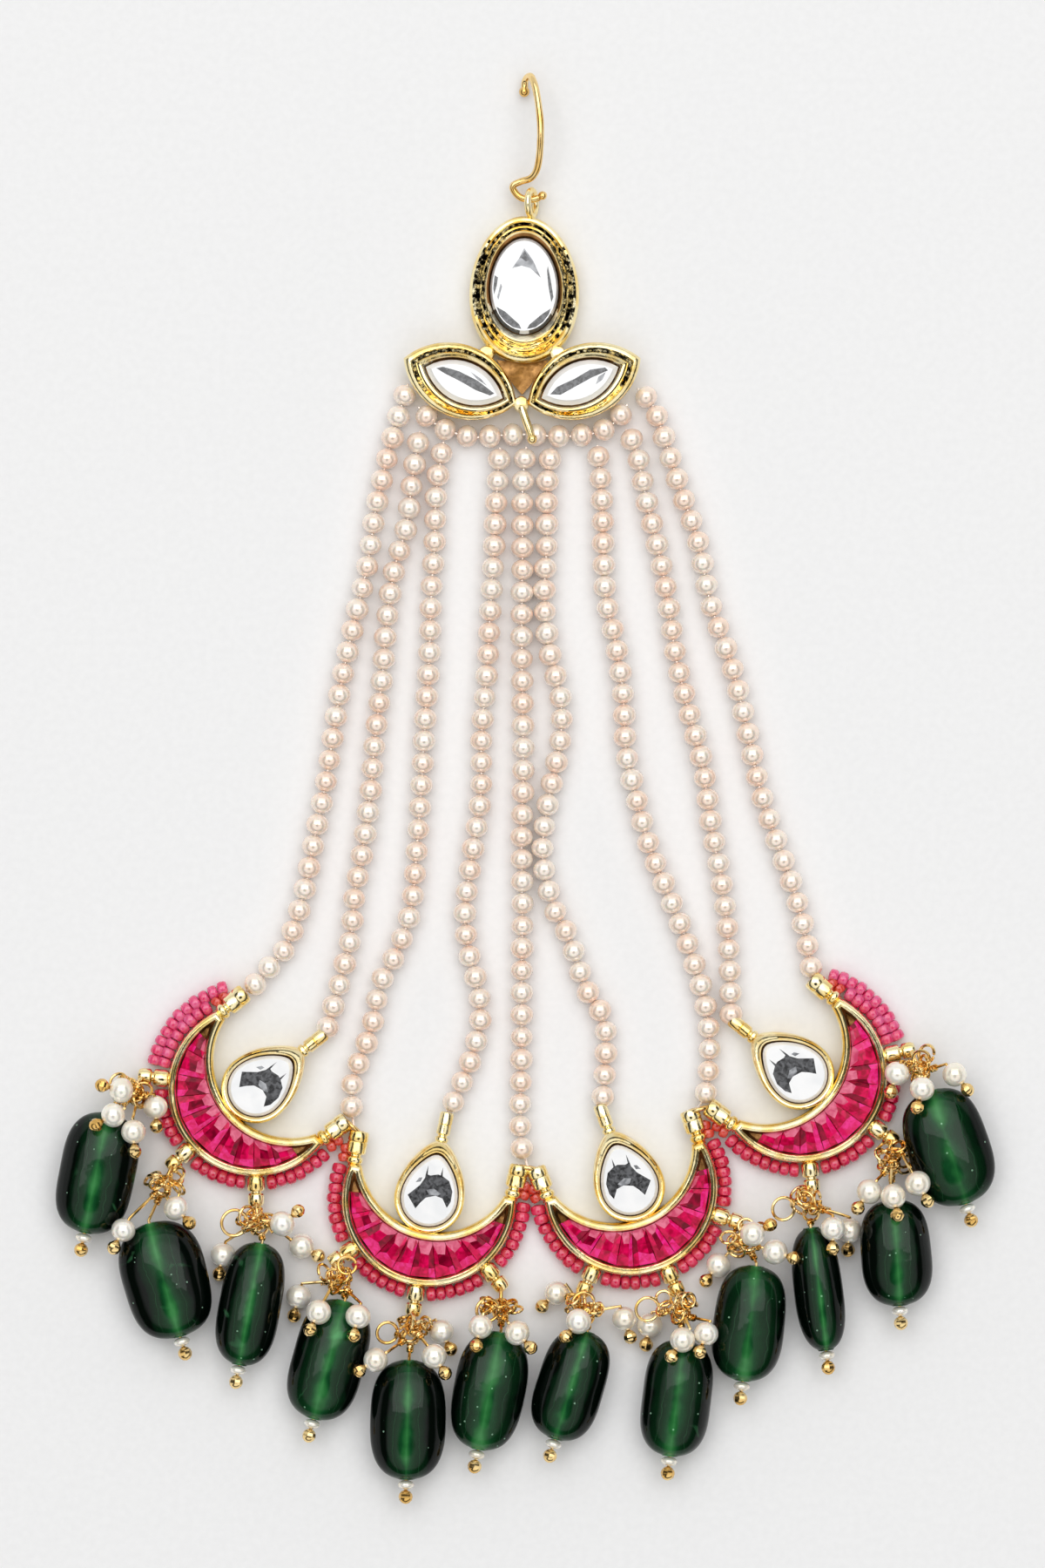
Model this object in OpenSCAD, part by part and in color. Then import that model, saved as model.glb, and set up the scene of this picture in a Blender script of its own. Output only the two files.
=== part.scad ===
// A passa jhoomar headpiece, laid flat: hook, crown, nine pearl strands,
// four ruby crescents and twelve green glass drops.
// Millimetres. +Z is up from the surface it lies on, +Y points to the hook.

/* [Wire] */
// Diameter of the hook's wire
hook_wire = 0.8; // [0.6:0.1:0.9]
hook_tip_r = 0.62;
hook_knob_r = 0.52;
hook_sides = 12;
// Diameter of the wire of the drop rings and join rings
ring_wire = 0.44; // [0.36:0.02:0.46]
// Mean radius of a ring that carries one bail's drops
ring_r = 1.35; // [1.35:0.05:1.5]
// Diameter of the headpins
pin_wire = 0.36; // [0.3:0.02:0.36]
// Mean radius of a headpin's loop
loop_r = 0.85; // [0.8:0.05:0.85]

/* [Crown] */
// Width of the egg-shaped collet
egg_w = 12.6; // [12:0.1:13]
// Length of the egg-shaped collet
egg_len = 17.0; // [16.6:0.1:17.2]
// How much the egg narrows towards the hook
egg_slim = 0.07; // [0:0.01:0.12]
// Width of the egg's stone
egg_stone_w = 7.8; // [7:0.1:8]
// Length of the egg's stone
egg_stone_len = 11.0; // [10:0.1:11.4]
// Length of a leaf collet from tip to tip
leaf_len = 14.0; // [13.6:0.1:14.2]
// Width of a leaf collet
leaf_w = 8.4; // [8:0.1:8.5]
// How far each leaf droops towards the middle, in degrees
leaf_tilt = 22; // [20:1:24]

/* [Strands] */
// Outer diameter of the tube that stands for a string of pearls
strand_d = 2.3; // [2.0:0.1:2.3]
// Outer diameter of the tube that stands for a string of seed beads
seed_d = 1.36; // [1.2:0.02:1.36]

/* [Crescents] */
// Radius of a crescent's outer edge
crescent_r = 10.0; // [9.9:0.05:10]
// Radius of a crescent's mouth
mouth_r = 8.85; // [8.7:0.05:8.9]
// Distance from the outer circle's middle to the mouth's
mouth_shift = 5.2; // [5.1:0.05:5.3]
// Height of a crescent's rims above the surface
rim_h = 3.0; // [2.8:0.1:3.2]
// Width of the outer rim
outer_rim = 1.1; // [1:0.05:1.2]
// Width of the inner rim
inner_rim = 1.2; // [1.1:0.05:1.3]
// Stones set in each crescent's channel
rubies_per_crescent = 10; // [8:1:10]
// Radius of the round end of the pear collet
pear_r = 4.05; // [3.9:0.05:4.1]
// Distance from that round end's middle to the pear's tip
pear_tip = 6.7; // [6.5:0.1:6.8]

/* [Drops] */
// Thickness of a green glass bead
glass_t = 6.0; // [5:0.1:6]
// Diameter of a pearl in the clusters
pearl_d = 2.7; // [2.5:0.1:2.7]
// Diameter of the ball that ends a headpin
ball_d = 1.5; // [1.3:0.1:1.5]
// Diameter of the tiny pearl under a green bead
end_pearl_d = 1.1; // [1:0.05:1.15]

/* [Hidden] */
CRESCENTS = [1, 2, 3, 4];
BEADS = [1, 2, 3, 4, 5, 6, 7, 8, 9, 10, 11, 12];

// Where the crown's pieces lie
egg_at = [-0.2, 56.95];
leaf_mid = [-0.45, 46.45];
leaf_reach = 7.1;
top_ring_at = [0.65, 66.95, 1.9];

// Points of the hook's wire from its ball tip to the knob behind the ring
HOOK_ROUTE = [[-0.2, 79.8, 0.9], [-0.1, 81.0, 1.0], [0.3, 81.5, 1.8], [0.7, 81.2, 2.9],
    [1.2, 79.5, 3.8], [1.65, 76, 4.3], [1.6, 73, 4], [1.3, 70.9, 3.2], [0.6, 69.8, 2.5],
    [-0.6, 69.4, 2.1], [-1.5, 68.9, 2], [-1.2, 68.1, 1.9], [-0.4, 67.5, 1.9], [1, 67.4, 1.9],
    [1.9, 67.8, 2]];

// Points of the collar's string, and of each strand from the crown down, laid at one height
COLLAR_ROUTE = [[-12.3, 43.5], [-10.8, 41.9], [-8.8, 40.8], [-6, 40.1], [-3, 40.3], [0, 40.4],
    [3.4, 40.2], [6.2, 40.3], [8.6, 40.8], [10.4, 42], [11.6, 43.8]];
STRAND_ROUTES = [
    [[-13.6, 46.1], [-15, 41.2], [-16.3, 36.3], [-17.4, 31], [-18.2, 25.5], [-19.7, 19], [-21, 13],
     [-22, 7], [-23, 0.5], [-24.3, -6], [-25.7, -13], [-27.6, -18.5], [-29.5, -20.8], [-31, -22.9]],
    [[-12.2, 40.7], [-13.1, 35], [-13.7, 30], [-15.1, 25], [-16, 19], [-16.5, 12.7], [-17.4, 5],
     [-17.9, -1], [-18.7, -7], [-19.7, -12.5], [-20.1, -17], [-21.1, -21.5], [-22.8, -27.8]],
    [[-9.5, 39.5], [-10.3, 34], [-10.5, 28], [-10.9, 22], [-11.1, 15], [-11.5, 9], [-11.9, 2],
     [-12.5, -6.5], [-13.2, -14], [-14.9, -19.1], [-16.8, -22.9], [-17.8, -28], [-19.9, -33.8],
     [-20.1, -36.6]],
    [[-3, 38.8], [-3.4, 33], [-3.7, 27], [-4.1, 20], [-4.5, 13], [-5.1, 6], [-5.2, -1],
     [-6.2, -8], [-7, -14], [-6.7, -18.5], [-5.8, -22], [-5.2, -26.3], [-6.2, -31], [-7.7, -35.2]],
    [[0, 38.9], [-0.4, 34], [-0.4, 26], [-0.5, 18], [-0.4, 10], [-0.3, 2], [-0.5, -6],
     [-0.4, -14], [-0.5, -22], [-0.5, -30], [-0.7, -38], [-0.8, -40.9]],
    [[2.9, 38.8], [2.4, 34], [2.4, 28], [2.1, 21.5], [2.7, 15.5], [4, 10], [3.9, 5], [2.7, -1],
     [2, -5.5], [2, -9], [3.2, -14], [5, -17.5], [6.8, -23], [9.1, -27.5], [9.2, -35]],
    [[8.2, 39.1], [8.7, 33.5], [8.9, 27], [9.2, 21.5], [10.4, 16], [11.2, 10], [11.5, 4],
     [12.6, -1], [14.2, -7], [16.6, -13], [18.7, -18.5], [20.5, -24.5], [21.1, -30], [21, -34.9]],
    [[11.5, 40.9], [12.7, 38.5], [13.8, 33], [15, 28], [16.2, 22], [17.2, 15], [18.6, 9],
     [20.3, 2.5], [21.2, -4], [22.3, -10], [23.2, -17], [23.6, -25.8]],
    [[12.9, 45.6], [14.5, 43.8], [15.9, 40], [17.6, 34.5], [19.8, 28], [21.2, 21], [23.6, 14],
     [25.3, 7], [26.8, 0], [28.7, -6], [30.8, -12], [32.3, -18], [32.9, -21.2]]];
string_z = 1.25;
string_sides = 8;

// Middle of each crescent's outer circle, and the way its mouth opens, in degrees from +X
CRESCENT_AT = [[-31.1, -34.75], [-11.15, -47.45], [12, -46.15], [31.5, -33.2]];
CRESCENT_OPEN = [38.5, 78, 110.5, 141];
horn_cut = 2.2;
horn_x = 9.3;
floor_t = 0.9;
bail_z = 1.9;
bail_r = 0.7;
neck_r = 0.5;
eye_r = 0.82;
eye_bore = 0.45;
eye_h = 0.7;
// A drop bail's eye lies this far from the crescent's middle, at these angles about it
drop_eye = 12.9;
DROP_ANGLES = [-135, -86, -38];
// Each string of seeds runs from one angle to the next, at this radius
seed_row_r = 10.85;
outer_row_r = 12.3;
SEED_SPANS = [[-190, -141.5], [-128.5, -92.5], [-79.5, -44.5], [-31.5, 10]];
OUTER_SPANS = [[1, -203, -141.5], [4, -31.5, 23]];
// Two horn bails meet under each of these rings: crescent to the left, crescent to the right
JOINS = [[1, 2], [2, 3], [3, 4]];

// One row for each green bead: crescent, bail, top end x and y, ball x and y, length, width
GREEN = [
    [1, 1, -47.8, -37.5, -51.0, -53.0, 14.0, 8.8],
    [1, 2, -43.2, -50.1, -39.2, -64.7, 13.5, 9.8],
    [1, 3, -30.3, -52.4, -33.2, -67.9, 14.2, 7.2],
    [2, 1, -20.8, -59.0, -24.8, -74.1, 14.0, 8.4],
    [2, 2, -13.4, -65.8, -13.8, -81.1, 13.7, 8.6],
    [2, 3, -2.9, -62.6, -6.0, -78.5, 13.7, 8.2],
    [3, 1, 7.0, -62.5, 2.8, -76.6, 12.9, 7.8],
    [3, 2, 18.0, -63.5, 16.3, -78.4, 13.4, 8.0],
    [3, 3, 26.4, -55.0, 24.6, -70.0, 13.3, 8.2],
    [4, 1, 32.7, -50.6, 34.7, -66.9, 14.2, 5.6],
    [4, 2, 42.0, -47.4, 43.0, -61.5, 12.2, 8.1],
    [4, 3, 46.4, -34.9, 50.9, -49.3, 13.6, 9.4]];
glass_z = glass_t / 2 + 0.1;
glass_bore = 0.34;
glass_sides = 12;

// One row for each cluster pearl: crescent, bail, place of its loop on the ring in degrees,
// the pearl's x, y and z, and the point that its ball lies towards
CLUSTER = [
    [1, 1, 66, -42.5, -36.8, 3.2, -42.4, -38.6, 2.8],
    [1, 1, 32, -47.2, -37.6, 6.3, -48.6, -38.4, 6.6],
    [1, 1, -36, -44.9, -39.5, 6.0, -44.8, -41.2, 6.2],
    [1, 1, 100, -46.3, -34.8, 5.7, -47.8, -34.4, 5.9],
    [1, 2, 32, -46.1, -50.8, 5.0, -47.0, -52.5, 5.0],
    [1, 2, 66, -40.1, -48.3, 4.8, -38.8, -49.7, 5.0],
    [1, 3, 32, -34.8, -53.8, 1.7, -35.2, -55.8, 1.5],
    [1, 3, -39, -25.8, -52.8, 1.65, -24.3, -53.7, 1.3],
    [1, 3, 68, -27.9, -50.1, 4.6, -26.8, -49.2, 4.6],
    [2, 1, -36, -26.1, -58.6, 1.6, -26.6, -60.6, 1.4],
    [2, 1, 66, -23.7, -60.1, 6.4, -24.5, -61.8, 6.9],
    [2, 1, 32, -19.2, -60.6, 6.5, -19.6, -62.4, 7.0],
    [2, 2, 32, -17.2, -65.6, 5.8, -19.0, -66.8, 5.6],
    [2, 2, 66, -10.5, -65.2, 5.8, -9.4, -66.9, 6.0],
    [2, 2, -36, -9.7, -62.6, 1.9, -8.8, -64.4, 1.7],
    [2, 3, 66, -5.2, -61.8, 6.0, -5.6, -63.6, 6.4],
    [2, 3, 32, -1.0, -62.5, 6.2, 0.2, -63.8, 6.6],
    [3, 1, -36, 3.5, -58.2, 1.8, 2.2, -59.4, 1.5],
    [3, 1, 66, 6.0, -61.2, 5.8, 4.8, -62.6, 6.1],
    [3, 1, 34, 11.3, -61.1, 2.2, 11.9, -63.0, 1.8],
    [3, 2, 68, 17.9, -63.3, 6.2, 16.8, -64.9, 6.5],
    [3, 2, 32, 20.6, -62.6, 5.9, 20.0, -64.3, 6.4],
    [3, 2, -36, 14.2, -61.9, 1.7, 13.9, -63.6, 1.5],
    [3, 3, -36, 22.1, -55.0, 1.8, 20.9, -56.5, 1.95],
    [3, 3, 32, 28.5, -53.3, 5.0, 30.3, -53.9, 5.2],
    [3, 3, 66, 25.9, -51.2, 6.1, 27.5, -50.4, 5.9],
    [4, 1, 66, 35.1, -50.6, 5.8, 35.1, -52.5, 5.8],
    [4, 1, -36, 37.1, -51.0, 1.8, 37.0, -53.2, 1.5],
    [4, 2, 32, 39.3, -46.4, 4.9, 38.2, -48.0, 4.9],
    [4, 2, 66, 42.0, -46.9, 6.1, 42.4, -48.8, 6.8],
    [4, 2, 100, 44.8, -45.4, 6.3, 46.2, -47.9, 6.4],
    [4, 3, -36, 42.5, -32.9, 4.4, 41.9, -34.8, 4.0],
    [4, 3, 66, 45.3, -34.6, 6.1, 44.8, -36.4, 6.6],
    [4, 3, 32, 49.1, -33.0, 4.6, 50.5, -34.7, 4.6]];
pearl_bore = 0.31;
// A loop's middle sits this far outside the ring's wire
loop_hang = 0.33;
fit_gap = 0.12;

gold = "gold";
cream = "linen";

function unit(v) = v / norm(v);
function polar(r, a) = [r * cos(a), r * sin(a)];
function lift(p, z) = [p.x, p.y, z];
function turned(p, a) = [p.x * cos(a) - p.y * sin(a), p.x * sin(a) + p.y * cos(a)];

// A point given in crescent k's own frame, whose mouth opens to +Y
function on_crescent(k, p) = CRESCENT_AT[k - 1] + turned(p, CRESCENT_OPEN[k - 1] - 90);

// The egg: an ellipse that narrows towards +Y
function egg(w, h) =
    [for (a = [0:7.5:359]) [w / 2 * cos(a) * (1 - egg_slim * sin(a)), h / 2 * sin(a)]];

// The pear: round below, drawn out to a rounded tip at +Y
function pear(r, tip) =
    [for (a = [0:10:359]) a < 180
        ? [r * cos(a) * (1 - 0.34 * pow(sin(a), 2)), tip * sin(a)]
        : [r * cos(a), r * sin(a)]];

// A leaf: two arcs that meet in a tip at each end
function leaf_arc_r(len, w) = (len * len + w * w) / (4 * w);
function leaf_points(len, w, n) = let (
        r = leaf_arc_r(len, w),
        half = asin(len / 2 / r),
        arc = [for (i = [0:n - 1]) [r * sin(half - 2 * half * i / n), r * cos(half - 2 * half * i / n) - r + w / 2]])
    concat(arc, [for (p = arc) -p]);

// Rings of equal count joined into one closed skin, with end caps or closed on itself
module skin(rings, closed = false) {
    n = len(rings[0]);
    m = len(rings);
    last = closed ? m - 1 : m - 2;
    sides = [for (j = [0:last], i = [0:n - 1]) let (k = (j + 1) % m, h = (i + 1) % n)
        [j * n + i, k * n + i, k * n + h, j * n + h]];
    caps = closed ? [] : [[for (i = [0:n - 1]) i], [for (i = [0:n - 1]) m * n - 1 - i]];
    polyhedron(points = [for (r = rings) each r], faces = concat(sides, caps), convexity = 4);
}

// A string of beads as the tube that it fills, along points at one height
function route_way(route, i) =
    unit(lift(route[min(i + 1, len(route) - 1)] - route[max(i - 1, 0)], 0));
function tube_ring(p, way, r) = let (side = cross([0, 0, 1], way))
    [for (i = [0:string_sides - 1]) let (a = (i + 0.5) * 360 / string_sides)
        p + r * cos(a) * side + [0, 0, r * sin(a)]];
module string_tube(route, z, d)
    skin([for (i = [0:len(route) - 1]) tube_ring(lift(route[i], z), route_way(route, i), d / 2)]);

// A faceted stone: small base, wide girdle, table on top
module cut_stone(outline, middle, z_base, z_girdle, z_table, table) {
    LEVELS = [[0.8, z_base], [1, z_girdle], [table, z_table]];
    skin([for (level = LEVELS) [for (p = outline) lift(middle + (p - middle) * level[0], level[1])]]);
}

// Round wire through a list of points, with rounded bends
module rod(p, q, r) {
    v = q - p;
    translate(p) rotate([0, acos(v.z / norm(v)), atan2(v.y, v.x)]) cylinder(h = norm(v), r = r, $fn = 24);
}
module wire(points, r) {
    for (i = [1:len(points) - 1]) rod(points[i - 1], points[i], r);
    for (i = [1:len(points) - 2]) translate(points[i]) sphere(r = r * 1.08, $fn = 24);
}
// A wire ring about an axis; its seam lies on the side given
module ring(middle, axis, mean_r, wire_r, seam = [0, 1, 0]) {
    x = unit(seam - (seam * axis) * axis);
    y = cross(axis, x);
    multmatrix([[x.x, y.x, axis.x, middle.x], [x.y, y.y, axis.y, middle.y],
        [x.z, y.z, axis.z, middle.z], [0, 0, 0, 1]])
        rotate_extrude($fn = 48) translate([mean_r, 0]) circle(r = wire_r, $fn = 24);
}

// A bead drilled along a direction
module drilled_sphere(p, way, d, bore_r) difference() {
    translate(p) sphere(d = d, $fn = 48);
    rod(p - way * d, p + way * d, bore_r);
}

// The hook's wire, rounded off between its points, as rows of [middle, radius] with a ball at each end
function between(a, b, c, d, t) = b + (c - a) * t / 2 + (2 * a - 5 * b + 4 * c - d) * t * t / 2
    + (3 * (b - c) + d - a) * t * t * t / 2;
function ball_rows(middle, way, r, from, to) = [for (i = [0:5]) let (a = from + i * (to - from) / 5)
    [middle + r * sin(a) * way, r * cos(a)]];
function hook_rows() = let (p = HOOK_ROUTE, last = len(p) - 1)
    concat(ball_rows(p[0], unit(p[1] - p[0]), hook_tip_r, -76, 46),
        [for (i = [0:last - 1], t = [0, 0.25, 0.5, 0.75])
            let (m = between(p[max(i - 1, 0)], p[i], p[i + 1], p[min(i + 2, last)], t))
            if (norm(m - p[0]) > hook_tip_r && norm(m - p[last]) > hook_knob_r) [m, hook_wire / 2]],
        ball_rows(p[last], unit(p[last] - p[last - 1]), hook_knob_r, -40, 76));
// Directions across the wire that turn with it and never twist
function across(rows, i, before) = let (way = unit(rows[min(i + 1, len(rows) - 1)][0] - rows[max(i - 1, 0)][0]),
        side = unit(before - (before * way) * way))
    concat([[side, cross(way, side)]], i + 1 < len(rows) ? across(rows, i + 1, side) : []);
module hook() color(gold) {
    rows = hook_rows();
    sides = across(rows, 0, [1, 0, 0]);
    skin([for (i = [0:len(rows) - 1]) [for (j = [0:hook_sides - 1]) let (a = j * 360 / hook_sides)
        rows[i][0] + rows[i][1] * (cos(a) * sides[i][0] + sin(a) * sides[i][1])]]);
}

// Egg collet: a low flange, a taller inner wall and a seat for the stone
module egg_collet() translate(egg_at) difference() {
    union() {
        linear_extrude(2.6) polygon(egg(egg_w, egg_len));
        linear_extrude(4.2) polygon(egg(egg_w - 2.0, egg_len - 2.4));
    }
    translate([0, 0.35, 1.6]) linear_extrude(4) polygon(egg(egg_stone_w + 0.3, egg_stone_len + 0.3));
}

module leaf_shape(len, w) {
    r = leaf_arc_r(len, w);
    intersection() {
        translate([0, w / 2 - r]) circle(r = r, $fn = 96);
        translate([0, r - w / 2]) circle(r = r, $fn = 96);
    }
}

module leaf_place(side) translate([leaf_mid.x + side * leaf_reach, leaf_mid.y]) rotate(side * leaf_tilt)
    children();

// Leaf collet: narrow at the back, so that the pearls tuck under its flange
module leaf_collet(side) leaf_place(side) difference() {
    union() {
        linear_extrude(2.6) leaf_shape(leaf_len - 2.4, leaf_w - 2.8);
        translate([0, 0, 2.5]) linear_extrude(0.9) leaf_shape(leaf_len, leaf_w);
        translate([0, 0, 3.3]) linear_extrude(0.9) leaf_shape(leaf_len - 2.0, leaf_w - 1.7);
    }
    translate([0, 0, 1.6]) linear_extrude(4) leaf_shape(10.7, 5.2);
}

module crown() color(gold) {
    difference() {
        union() {
            egg_collet();
            leaf_collet(-1);
            leaf_collet(1);
        }
        translate([egg_at.x, egg_at.y + 0.35, 1.6]) linear_extrude(4)
            polygon(egg(egg_stone_w + 0.3, egg_stone_len + 0.3));
    }
    // solder where the leaves meet each other and the egg
    translate([-0.55, 43.8, 0.4]) cylinder(r = 0.95, h = 3.1, $fn = 32);
    for (side = [-1, 1]) translate([leaf_mid.x + side * 4.1, 49.6, 0.4]) cylinder(r = 0.95, h = 2.6, $fn = 32);
    // stem over the collar
    rod([-0.5, 43.4, 3.1], [0.7, 39.8, 3.2], 0.5);
    translate([0.7, 39.8, 3.2]) sphere(r = 0.56, $fn = 32);
    ring(top_ring_at, [cos(18), 0, sin(18)], 1.45, 0.4, [0, 1, 0]);
}

module crown_stone() color("white") translate([egg_at.x, egg_at.y + 0.35])
    cut_stone([for (i = [0:3:47]) egg(egg_stone_w, egg_stone_len)[i]], [0, 0], 1.7, 3.6, 4.8, 0.55);

module leaf_stone(side) color("white") leaf_place(side)
    cut_stone(leaf_points(10.3, 4.9, 6), [0, 0], 1.7, 3.6, 4.5, 0.55);
module leaf_stone_left() leaf_stone(-1);
module leaf_stone_right() leaf_stone(1);

module pearl_collar() color(cream) string_tube(COLLAR_ROUTE, string_z, strand_d);
module pearl_strand(i) color(cream) string_tube(STRAND_ROUTES[i - 1], string_z, strand_d);

// The flat shape between the outer circle and the mouth, drawn in from each
module crescent_shape(from_outer, from_mouth) difference() {
    circle(r = crescent_r - from_outer, $fn = 96);
    translate([0, mouth_shift]) circle(r = mouth_r + from_mouth, $fn = 96);
    translate([-20, horn_cut]) square([40, 20]);
}

// A bail along +X: neck, barrel and an eye with an upright hole
module bail(neck, barrel) translate([0, 0, bail_z]) {
    reach = neck + barrel;
    rod([0, 0, 0], [reach - 0.5, 0, 0], neck_r);
    rod([neck, 0, 0], [reach - eye_r + 0.1, 0, 0], bail_r);
    difference() {
        translate([reach, 0, -eye_h / 2]) cylinder(r = eye_r, h = eye_h, $fn = 32);
        translate([reach, 0, -eye_h]) cylinder(r = eye_bore, h = 2 * eye_h, $fn = 32);
    }
}
module drilled_bail(neck, barrel) difference() {
    bail(neck, barrel);
    translate([neck + barrel, 0, 0]) cylinder(r = eye_bore, h = 6, $fn = 32);
}

horn_bail_len = 4.0;
function horn_eye(k, side) = on_crescent(k, [side * (horn_x + 0.1), horn_cut + horn_bail_len - 0.3]);
pear_seat = mouth_r - pear_r + 0.2;
module pear_place() translate([0, mouth_shift - pear_seat]) children();

module crescent(k) color(gold)
    translate(CRESCENT_AT[k - 1]) rotate(CRESCENT_OPEN[k - 1] - 90) {
        difference() {
            linear_extrude(rim_h) crescent_shape(0, 0);
            translate([0, 0, floor_t]) linear_extrude(rim_h) crescent_shape(outer_rim, inner_rim);
        }
        difference() {
            pear_place() linear_extrude(rim_h + 0.5) polygon(pear(pear_r, pear_tip));
            pear_place() translate([0, 0, floor_t]) linear_extrude(rim_h + 1)
                polygon(pear(3.25, 5.1));
            // the collet stops at the channel
            linear_extrude(rim_h + 1) crescent_shape(outer_rim, inner_rim - 0.6);
        }
        for (a = DROP_ANGLES) rotate(a) translate([crescent_r - 0.4, 0]) drilled_bail(1.2, drop_eye - crescent_r - 0.8);
        for (side = [-1, 1]) translate([side * horn_x, horn_cut - 0.3]) rotate(90 - side * 1.4)
            drilled_bail(1.6, horn_bail_len - 1.6);
        pear_place() translate([0, pear_tip - 0.4]) rotate(90) drilled_bail(1.4, 1.9);
    }

// Distance from the outer circle's middle to the channel's inner wall, at angle a
function channel_in(a, gap) = let (r = mouth_r + inner_rim + gap)
    mouth_shift * sin(a) + sqrt(r * r - pow(mouth_shift * cos(a), 2));
module ruby_row(k) color("crimson")
    translate(CRESCENT_AT[k - 1]) rotate(CRESCENT_OPEN[k - 1] - 90) {
        span = 168 / rubies_per_crescent;
        gap_a = 0.6;
        out_r = crescent_r - outer_rim - fit_gap;
        for (i = [0:rubies_per_crescent - 1]) {
            a = -174 + i * span + gap_a;
            b = -174 + (i + 1) * span - gap_a;
            outline = [polar(channel_in(a, 0.2), a), polar(out_r, a), polar(out_r, b),
                polar(channel_in(b, 0.2), b)];
            middle = (outline[0] + outline[1] + outline[2] + outline[3]) / 4;
            cut_stone(outline, middle, floor_t + 0.1, rim_h - 0.6, rim_h, 0.6);
        }
    }

module pear_stone(k) color("white")
    translate(CRESCENT_AT[k - 1]) rotate(CRESCENT_OPEN[k - 1] - 90) pear_place()
        cut_stone([for (i = [0:3:35]) pear(3.1, 4.9)[i]], [0, 0.6], floor_t + 0.1, rim_h, rim_h + 0.9, 0.55);

// The strings of seeds lie against the outer rim, between the bails
function seed_arc(r, from, to) = let (n = ceil((to - from) * r / 57.3 / 3))
    [for (i = [0:n]) polar(r, from + (to - from) * i / n)];
module seed_string(k) color("firebrick")
    translate(CRESCENT_AT[k - 1]) rotate(CRESCENT_OPEN[k - 1] - 90) {
        for (span = SEED_SPANS) string_tube(seed_arc(seed_row_r, span[0], span[1]), seed_d / 2 + 0.3, seed_d);
        for (span = OUTER_SPANS) if (span[0] == k)
            string_tube(seed_arc(outer_row_r, span[1], span[2]), seed_d / 2 + 0.1, 1.2);
    }

// A ring that stands through the two horn bails' eyes at a join
module join_ring(left, right) {
    p = horn_eye(left, 1);
    q = horn_eye(right, -1);
    way = unit(q - p);
    ring(lift((p + q) / 2, bail_z), [-way.y, way.x, 0], norm(q - p) / 2, ring_wire / 2, [0, 0, 1]);
}
module join_rings() color(gold) for (j = JOINS) join_ring(j[0], j[1]);

// The ring in a drop bail's eye leans towards the top of its green bead
function drop_eye_at(k, j) = on_crescent(k, polar(drop_eye, DROP_ANGLES[j - 1]));
function bead_row(k, j) = GREEN[3 * (k - 1) + j - 1];
function hang_way(k, j) = unit([bead_row(k, j)[2], bead_row(k, j)[3]] - drop_eye_at(k, j));
function ring_middle(k, j) = lift(drop_eye_at(k, j) + ring_r * hang_way(k, j), bail_z);
module drop_rings() color(gold) for (k = CRESCENTS, j = [1:3])
    ring(ring_middle(k, j), lift([-hang_way(k, j).y, hang_way(k, j).x], 0), ring_r, ring_wire / 2, [0, 0, 1]);

// A headpin: its loop goes round the ring at one place, its wire runs to the ball
module headpin(k, j, place, points) {
    out = lift(cos(place) * hang_way(k, j), sin(place));
    across = cross([0, 0, 1], lift(hang_way(k, j), 0));
    on_ring = ring_middle(k, j) + ring_r * out;
    v = points[0] - on_ring;
    way = unit((v * out) * out + (v * across) * across);
    middle = on_ring + loop_hang * way;
    ring(middle, cross(out, across), loop_r, pin_wire / 2, -way);
    wire(concat([middle + (loop_r + 0.06) * way], points), pin_wire / 2);
    translate(points[len(points) - 1]) sphere(d = ball_d, $fn = 32);
}

function bead_top(row) = [row[2], row[3], glass_z];
function bead_way(row) = lift(unit([row[4] - row[2], row[5] - row[3]]), 0);
function end_pearl_at(row) = bead_top(row) + (row[6] + end_pearl_d / 2 + 0.05) * bead_way(row);
function end_ball_at(row) = end_pearl_at(row) + (end_pearl_d / 2 + ball_d / 2 + 0.05) * bead_way(row);
module drop_pins() color(gold) for (row = GREEN)
    headpin(row[0], row[1], -2, [bead_top(row) - 0.3 * bead_way(row), end_ball_at(row)]);
module end_pearls() color("white") for (row = GREEN)
    drilled_sphere(end_pearl_at(row), bead_way(row), end_pearl_d, 0.28);

// A tumbled bead: rings along its length, each a flattened ring with soft ridges
BEAD_STEPS = [0, 0.03, 0.12, 0.3, 0.5, 0.7, 0.88, 0.97, 1];
function swell(s) = pow(1 - pow(abs(2 * s - 1), 3.1), 0.42);
function bead_ring(p, way, half_w, half_t) = let (side = cross([0, 0, 1], way))
    [for (i = [0:glass_sides - 1]) let (a = i * 360 / glass_sides)
        p + half_w * cos(a) * side + [0, 0, half_t * sin(a)]];
module green_bead(b) color("darkgreen") {
    row = GREEN[b - 1];
    way = bead_way(row);
    top = bead_top(row);
    end = top + row[6] * way;
    skin(concat([bead_ring(top, way, glass_bore, glass_bore)],
        [for (s = BEAD_STEPS) bead_ring(top + s * row[6] * way, way,
            max(0.9, row[7] / 2 * swell(s)), max(0.9, glass_t / 2 * swell(s)))],
        [bead_ring(end, way, glass_bore, glass_bore)]), closed = true);
}

function pearl_at(row) = [row[3], row[4], row[5]];
function pearl_way(row) = unit([row[6], row[7], row[8]] - pearl_at(row));
ball_reach = pearl_d / 2 + ball_d / 2 + 0.05;
module cluster_pearls(k) color(cream) for (row = CLUSTER) if (row[0] == k)
    drilled_sphere(pearl_at(row), pearl_way(row), pearl_d, pearl_bore);
module cluster_pins(k) color(gold) for (row = CLUSTER) if (row[0] == k)
    headpin(k, row[1], row[2], [pearl_at(row) - (pearl_d / 2 + 0.3) * pearl_way(row),
        pearl_at(row) + ball_reach * pearl_way(row)]);

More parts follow.
